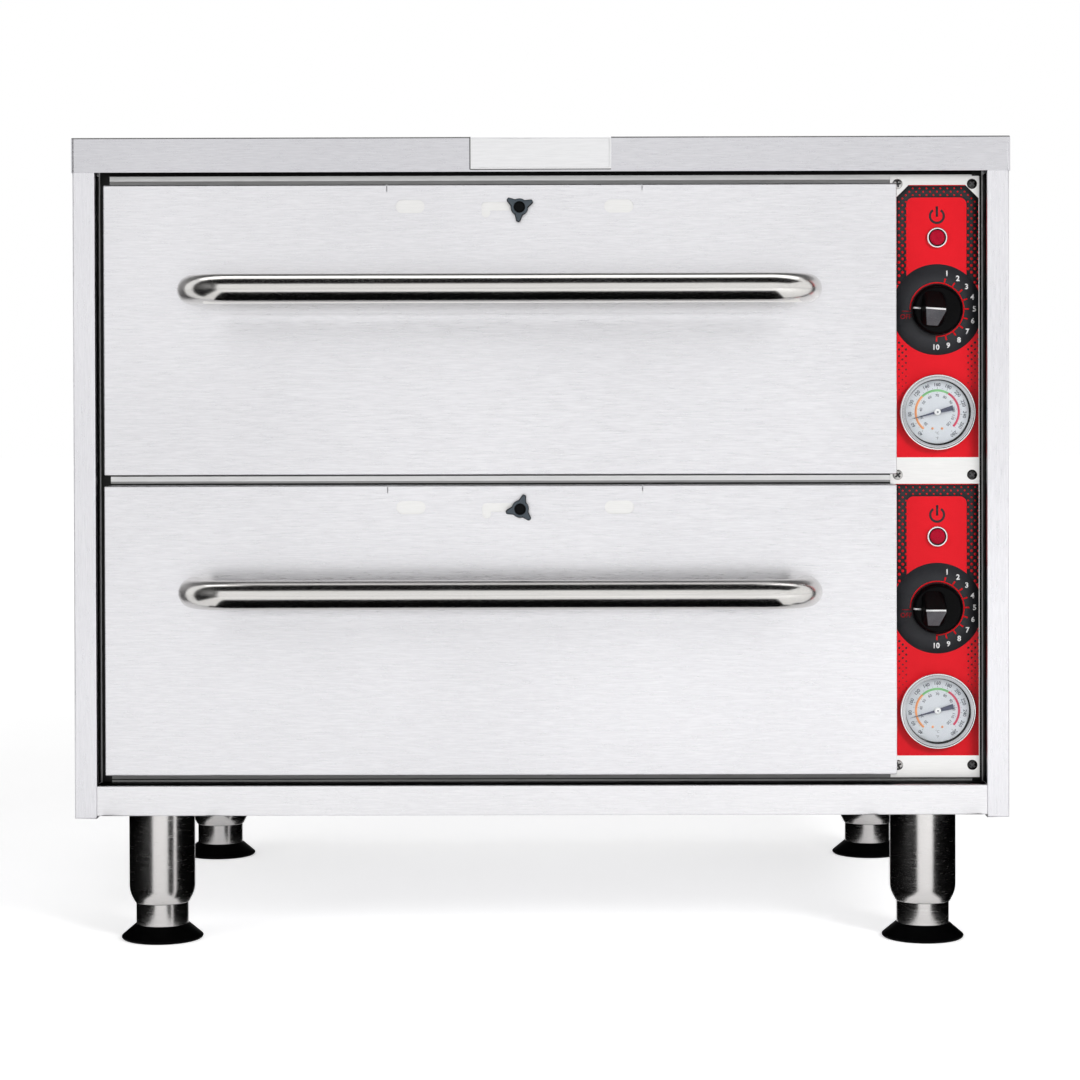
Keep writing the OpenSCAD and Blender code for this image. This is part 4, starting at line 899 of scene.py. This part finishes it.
def label_print(row):
    """The printed film: a dark surround with dots that grow downwards, a dark ring round the dial, dots that
    fade out below it, the dial's scale, and the power sign; each dot row is offset by half a step."""
    low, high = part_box(row + "_label")
    plane = (low.y - FRONT_Y) * 1000
    half = (high.x - low.x) * 500
    mid = (low.x + high.x) * 500
    z = ROWS[row] + DIAL_UP
    top = high.z * 1000 - z
    side = half - 0.05
    cut = 10.8 if row == "upper" else 0.02

    def lay(name, shapes, ink, lift):
        drawn = [flat(points, faces, mid, plane - lift, z) for points, faces in shapes]
        piece(row + name, joined(*drawn), ink, "cabinet", closed=False, skin=0.02)

    arc = np.linspace(0, pi / 2, 9)
    curve = 5.8
    roof = top - 10.2
    left, right, foot = -24.8, 24.0, 20.0
    inner = np.vstack([[(left, foot)],
                       np.stack([left + curve * (1 - np.cos(arc)), roof - curve * (1 - np.sin(arc))], -1),
                       np.stack([right - curve * (1 - np.sin(arc)), roof - curve * (1 - np.cos(arc))], -1),
                       [(right, foot)]])
    slope = np.linspace(0, cut, 9)
    outer = np.vstack([[(-side, foot)], np.stack([-side + slope, top - cut + slope], -1),
                       np.stack([side - cut + slope, top - slope], -1), [(side, foot)]])
    surround = (np.vstack([outer, inner]), grid_faces(2, len(inner)))
    around = np.linspace(0, 360, 181)
    reach = np.minimum(36.9, side / np.maximum(np.abs(np.cos(np.radians(around))), 1e-6))
    ring = band(8.0, reach, 0, 360, 181)
    bar = np.array([[-0.95, -0.6], [0.95, -0.6], [0.95, 7.9], [-0.95, 7.9]]) + [0, 75.9]
    sign = [band(4.65, 6.55, 124, 416, 60), (bar, [[0, 1, 2, 3]])]
    sign[0] = (sign[0][0] + [0, 75.9], sign[0][1])
    lay("_label_surround", [surround] + sign, "charcoal ink", 0.02)
    lay("_label_ring", [ring], "charcoal ink", 0.045)

    col, line = np.meshgrid(np.arange(-12, 13), np.arange(0, 70))
    a, b = col * 2.8, top - 2.8 - 2.72 * line
    staggered = (col + line) % 2 == 1
    outside = np.hypot(a, b) > 37.6
    hollow = (a > left + 0.2) & (a < right - 0.2) & (b < roof - 0.2)
    corner = np.abs(a) + b < side + top - cut - 1.2
    above = staggered & outside & ~hollow & corner & (b > 8)
    size = np.interp(top - b, [0, 10, 75, 90], [0.68, 0.78, 1.25, 0.9])
    centres = np.stack([a[above], b[above]], -1)
    red_points, red_faces = dots(centres, size[above])
    red_points[:, 0] = np.clip(red_points[:, 0], -side, side)
    lay("_label_red_dots", [(red_points, red_faces)], "red ink", 0.07)
    below = staggered & outside & (np.abs(a) > 24.0) & (b < -14) & (b > -80)
    size = np.interp(-b, [14, 24, 62, 80], [1.15, 1.05, 0.45, 0.12])
    dark_points, dark_faces = dots(np.stack([a[below], b[below]], -1), size[below])
    dark_points[:, 0] = np.clip(dark_points[:, 0], -side, side)
    lay("_label_dark_dots", [(dark_points, dark_faces)], "charcoal ink", 0.02)

    angles = 74.7 - 18.4 * np.arange(10)
    ticks = [band(21.3, 26.0, t - 1.5, t + 1.5, 2) for t in angles]
    line_off = np.array([[-28.4, -1.6], [-20.8, -1.6], [-20.8, -0.9], [-28.4, -0.9]])
    edge = np.array([[cut - side, top - 0.75], [side - cut, top - 0.75], [side - cut, top - 0.05],
                     [cut - side, top - 0.05]])
    lay("_label_red_marks", ticks + [band(21.2, 22.3, 180, -91, 90), (edge, [[0, 1, 2, 3]])], "red ink", 0.07)
    off = [(line_off, [[0, 1, 2, 3]]), lettering("OFF", 4.0, -25.2, -5.6, 0, 0.02)]
    lay("_label_off_mark", off, "dark red ink", 0.07)
    numbers = [lettering(str(i + 1), 4.6, 30.4 * cos(radians(t)), 30.4 * sin(radians(t)), 0, 0.035)
               for i, t in enumerate(angles)]
    lay("_label_numbers", numbers, "white ink", 0.07)


# Studio

WORLD_LIGHT = 0.42
FLOOR_GLOSS_CUT = 0.26
CARD_Z = 1.7
BLIND_HEIGHT = 0.106


def studio():
    """A pale floor, a white surround, soft lamps, and dark and bright cards that only reflections see."""
    world = bpy.data.worlds.new("studio")
    bpy.context.scene.world = world
    world.use_nodes = True
    tree = world.node_tree
    back = tree.nodes["Background"]
    seen = seen_ray(tree)
    back.inputs["Color"].default_value = (1, 1, 1, 1)
    tree.links.new(spread(tree, seen, 0.0, 1.0, WORLD_LIGHT, 1.0), back.inputs["Strength"])
    paper = bpy.data.materials.new("studio paper")
    paper.use_nodes = True
    tree = paper.node_tree
    shader = tree.nodes["Principled BSDF"]
    place = tree.nodes.new("ShaderNodeTexCoord")
    tone = spread(tree, noise(tree, place.outputs["Object"], 9.0, 2.0), 0.3, 0.7, 0.90, 0.92)
    grey = tree.nodes.new("ShaderNodeCombineColor")
    for socket in range(3):
        tree.links.new(tone, grey.inputs[socket])
    tree.links.new(grey.outputs[0], shader.inputs["Base Color"])
    shader.inputs["Roughness"].default_value = 1
    shader.inputs["Specular IOR Level"].default_value = 0
    shader.inputs["Emission Color"].default_value = (1, 1, 1, 1)
    away = tree.nodes.new("ShaderNodeVectorMath")
    away.operation = "LENGTH"
    tree.links.new(place.outputs["Object"], away.inputs[0])
    glow = spread(tree, away.outputs["Value"], 0.8, 2.6, 0.52, 0.7)
    path = tree.nodes.new("ShaderNodeLightPath")
    cut = sums(tree, "MULTIPLY", path.outputs["Is Glossy Ray"], FLOOR_GLOSS_CUT)
    dimmed = sums(tree, "SUBTRACT", glow, cut)
    tree.links.new(sums(tree, "MULTIPLY", seen_ray(tree), dimmed), shader.inputs["Emission Strength"])
    stage_sheet("studio_floor", [(-14, -14, 0), (14, -14, 0), (14, 14, 0), (-14, 14, 0)], paper)
    dark = glow_sheet("black card", 0.0)
    level_card("overhead_card", -2.0, 2.0, -2.0, -0.46, CARD_Z, dark)
    level_card("overhead_strip", -1.2, 1.2, -0.36, 0.1, CARD_Z, glow_sheet("strip light", 2.2))
    level_card("lower_handle_glint", -0.27, 0.21, -0.279, -0.243, 0.514, glow_sheet("white card", 1.0))
    for row, z in ROWS.items():
        level_card(row + "_handle_shade", -0.262, 0.196, -0.33, -0.286, (z + HANDLE_UP - 22) * 0.001, dark)
    upright_card("left_card", (-0.7, -0.32), (-1.2, -2.0), 1.4, dark)
    for (side, end), (x, v) in LEGS.items():
        for number, (aside, front, back) in enumerate(LEG_BLINDS[side]):
            across = (x + aside) * 0.001
            depth = v * 0.001 + FRONT_Y
            upright_card("%s_%s_blind_%d" % (end, side, number), (across, depth + front * 0.001),
                         (across, depth + back * 0.001), BLIND_HEIGHT, dark)
    key = lamp("key", (1.62, -2.5, 1.55), (0.15, -0.1, 0.35), 0.8, 42)
    key.visible_glossy = False
    lamp("fill", (-2.2, -2.0, 1.3), (0, 0, 0.35), 1.8, 14)


def glow_sheet(name, strength):
    """A card that only gives its own light, or none where the strength is 0."""
    made = bpy.data.materials.new(name)
    made.use_nodes = True
    shader = made.node_tree.nodes["Principled BSDF"]
    shader.inputs["Base Color"].default_value = (0.004, 0.004, 0.004, 1)
    shader.inputs["Roughness"].default_value = 1
    shader.inputs["Specular IOR Level"].default_value = 0
    shader.inputs["Emission Color"].default_value = (1, 1, 1, 1)
    shader.inputs["Emission Strength"].default_value = strength
    return made


def level_card(name, x0, x1, y0, y1, z, material):
    """A level card in metres that only reflections see."""
    hidden_card(stage_sheet(name, [(x0, y0, z), (x1, y0, z), (x1, y1, z), (x0, y1, z)], material))


def upright_card(name, near, far, height, material):
    """An upright card in metres from one floor point to another that only reflections see."""
    corners = [(*near, 0.002), (*far, 0.002), (*far, height), (*near, height)]
    hidden_card(stage_sheet(name, corners, material))


def hidden_card(card):
    """Leaves a card to reflections alone."""
    card.visible_camera = False
    card.visible_diffuse = False
    card.visible_transmission = False
    card.visible_shadow = False


def seen_ray(tree):
    """One for rays from the camera, from gloss or through glass, none for the rest."""
    path = tree.nodes.new("ShaderNodeLightPath")
    both = sums(tree, "MAXIMUM", path.outputs["Is Camera Ray"], path.outputs["Is Glossy Ray"])
    return sums(tree, "MAXIMUM", both, path.outputs["Is Transmission Ray"])


def stage_sheet(name, corners, material):
    """A flat sheet of the studio, not of the part."""
    mesh = bpy.data.meshes.new(name)
    mesh.from_pydata(corners, [], [[0, 1, 2, 3]])
    mesh.materials.append(material)
    made = bpy.data.objects.new(name, mesh)
    bpy.context.scene.collection.objects.link(made)
    return made


def lamp(name, spot, aim, size, power):
    """A round soft lamp in metres and watts, turned to its aim."""
    light = bpy.data.lights.new(name, "AREA")
    light.shape = "DISK"
    light.size = size
    light.energy = power
    made = bpy.data.objects.new(name, light)
    made.location = spot
    made.rotation_euler = (Vector(aim) - Vector(spot)).to_track_quat("-Z", "Y").to_euler()
    bpy.context.scene.collection.objects.link(made)
    return made


def camera():
    """A long lens just above the drawers' middle, turned a little left, tipped down and levelled."""
    lens = bpy.data.cameras.new("camera")
    lens.sensor_width = 36
    lens.sensor_fit = "HORIZONTAL"
    lens.lens = 94.15
    lens.shift_y = -0.12
    lens.clip_start = 0.05
    made = bpy.data.objects.new("camera", lens)
    turn = Matrix.Rotation(radians(0.22), 4, "Z")
    tip = Matrix.Rotation(radians(90 - 0.65), 4, "X")
    roll = Matrix.Rotation(radians(-0.142), 4, "Z")
    made.matrix_world = Matrix.Translation((0.008, -2.5134, 0.4616)) @ turn @ tip @ roll
    bpy.context.scene.collection.objects.link(made)
    bpy.context.scene.camera = made


camera()
studio()
dress_carried()
cabinet_sheets()
opening_shade_film()
blank_nameplate()
legs()
for row in ROWS:
    handle_tube(row)
    food_pan(row)
    pilot_light(row)
    gauge_case(row)
    gauge_print(row)
    label_print(row)
cross_heads("plated_panel_screws", 289.6, (12, 40, 25), "plated screw", "plated recess shade")
cross_heads("black_panel_screws", 350, (45, 38, 50), "black screw", "black recess highlight")
vent_grip("upper", 25)
vent_grip("lower", 73)
dial_grip("upper", -4)
dial_grip("lower", 0)

bpy.context.scene.view_settings.view_transform = "Standard"
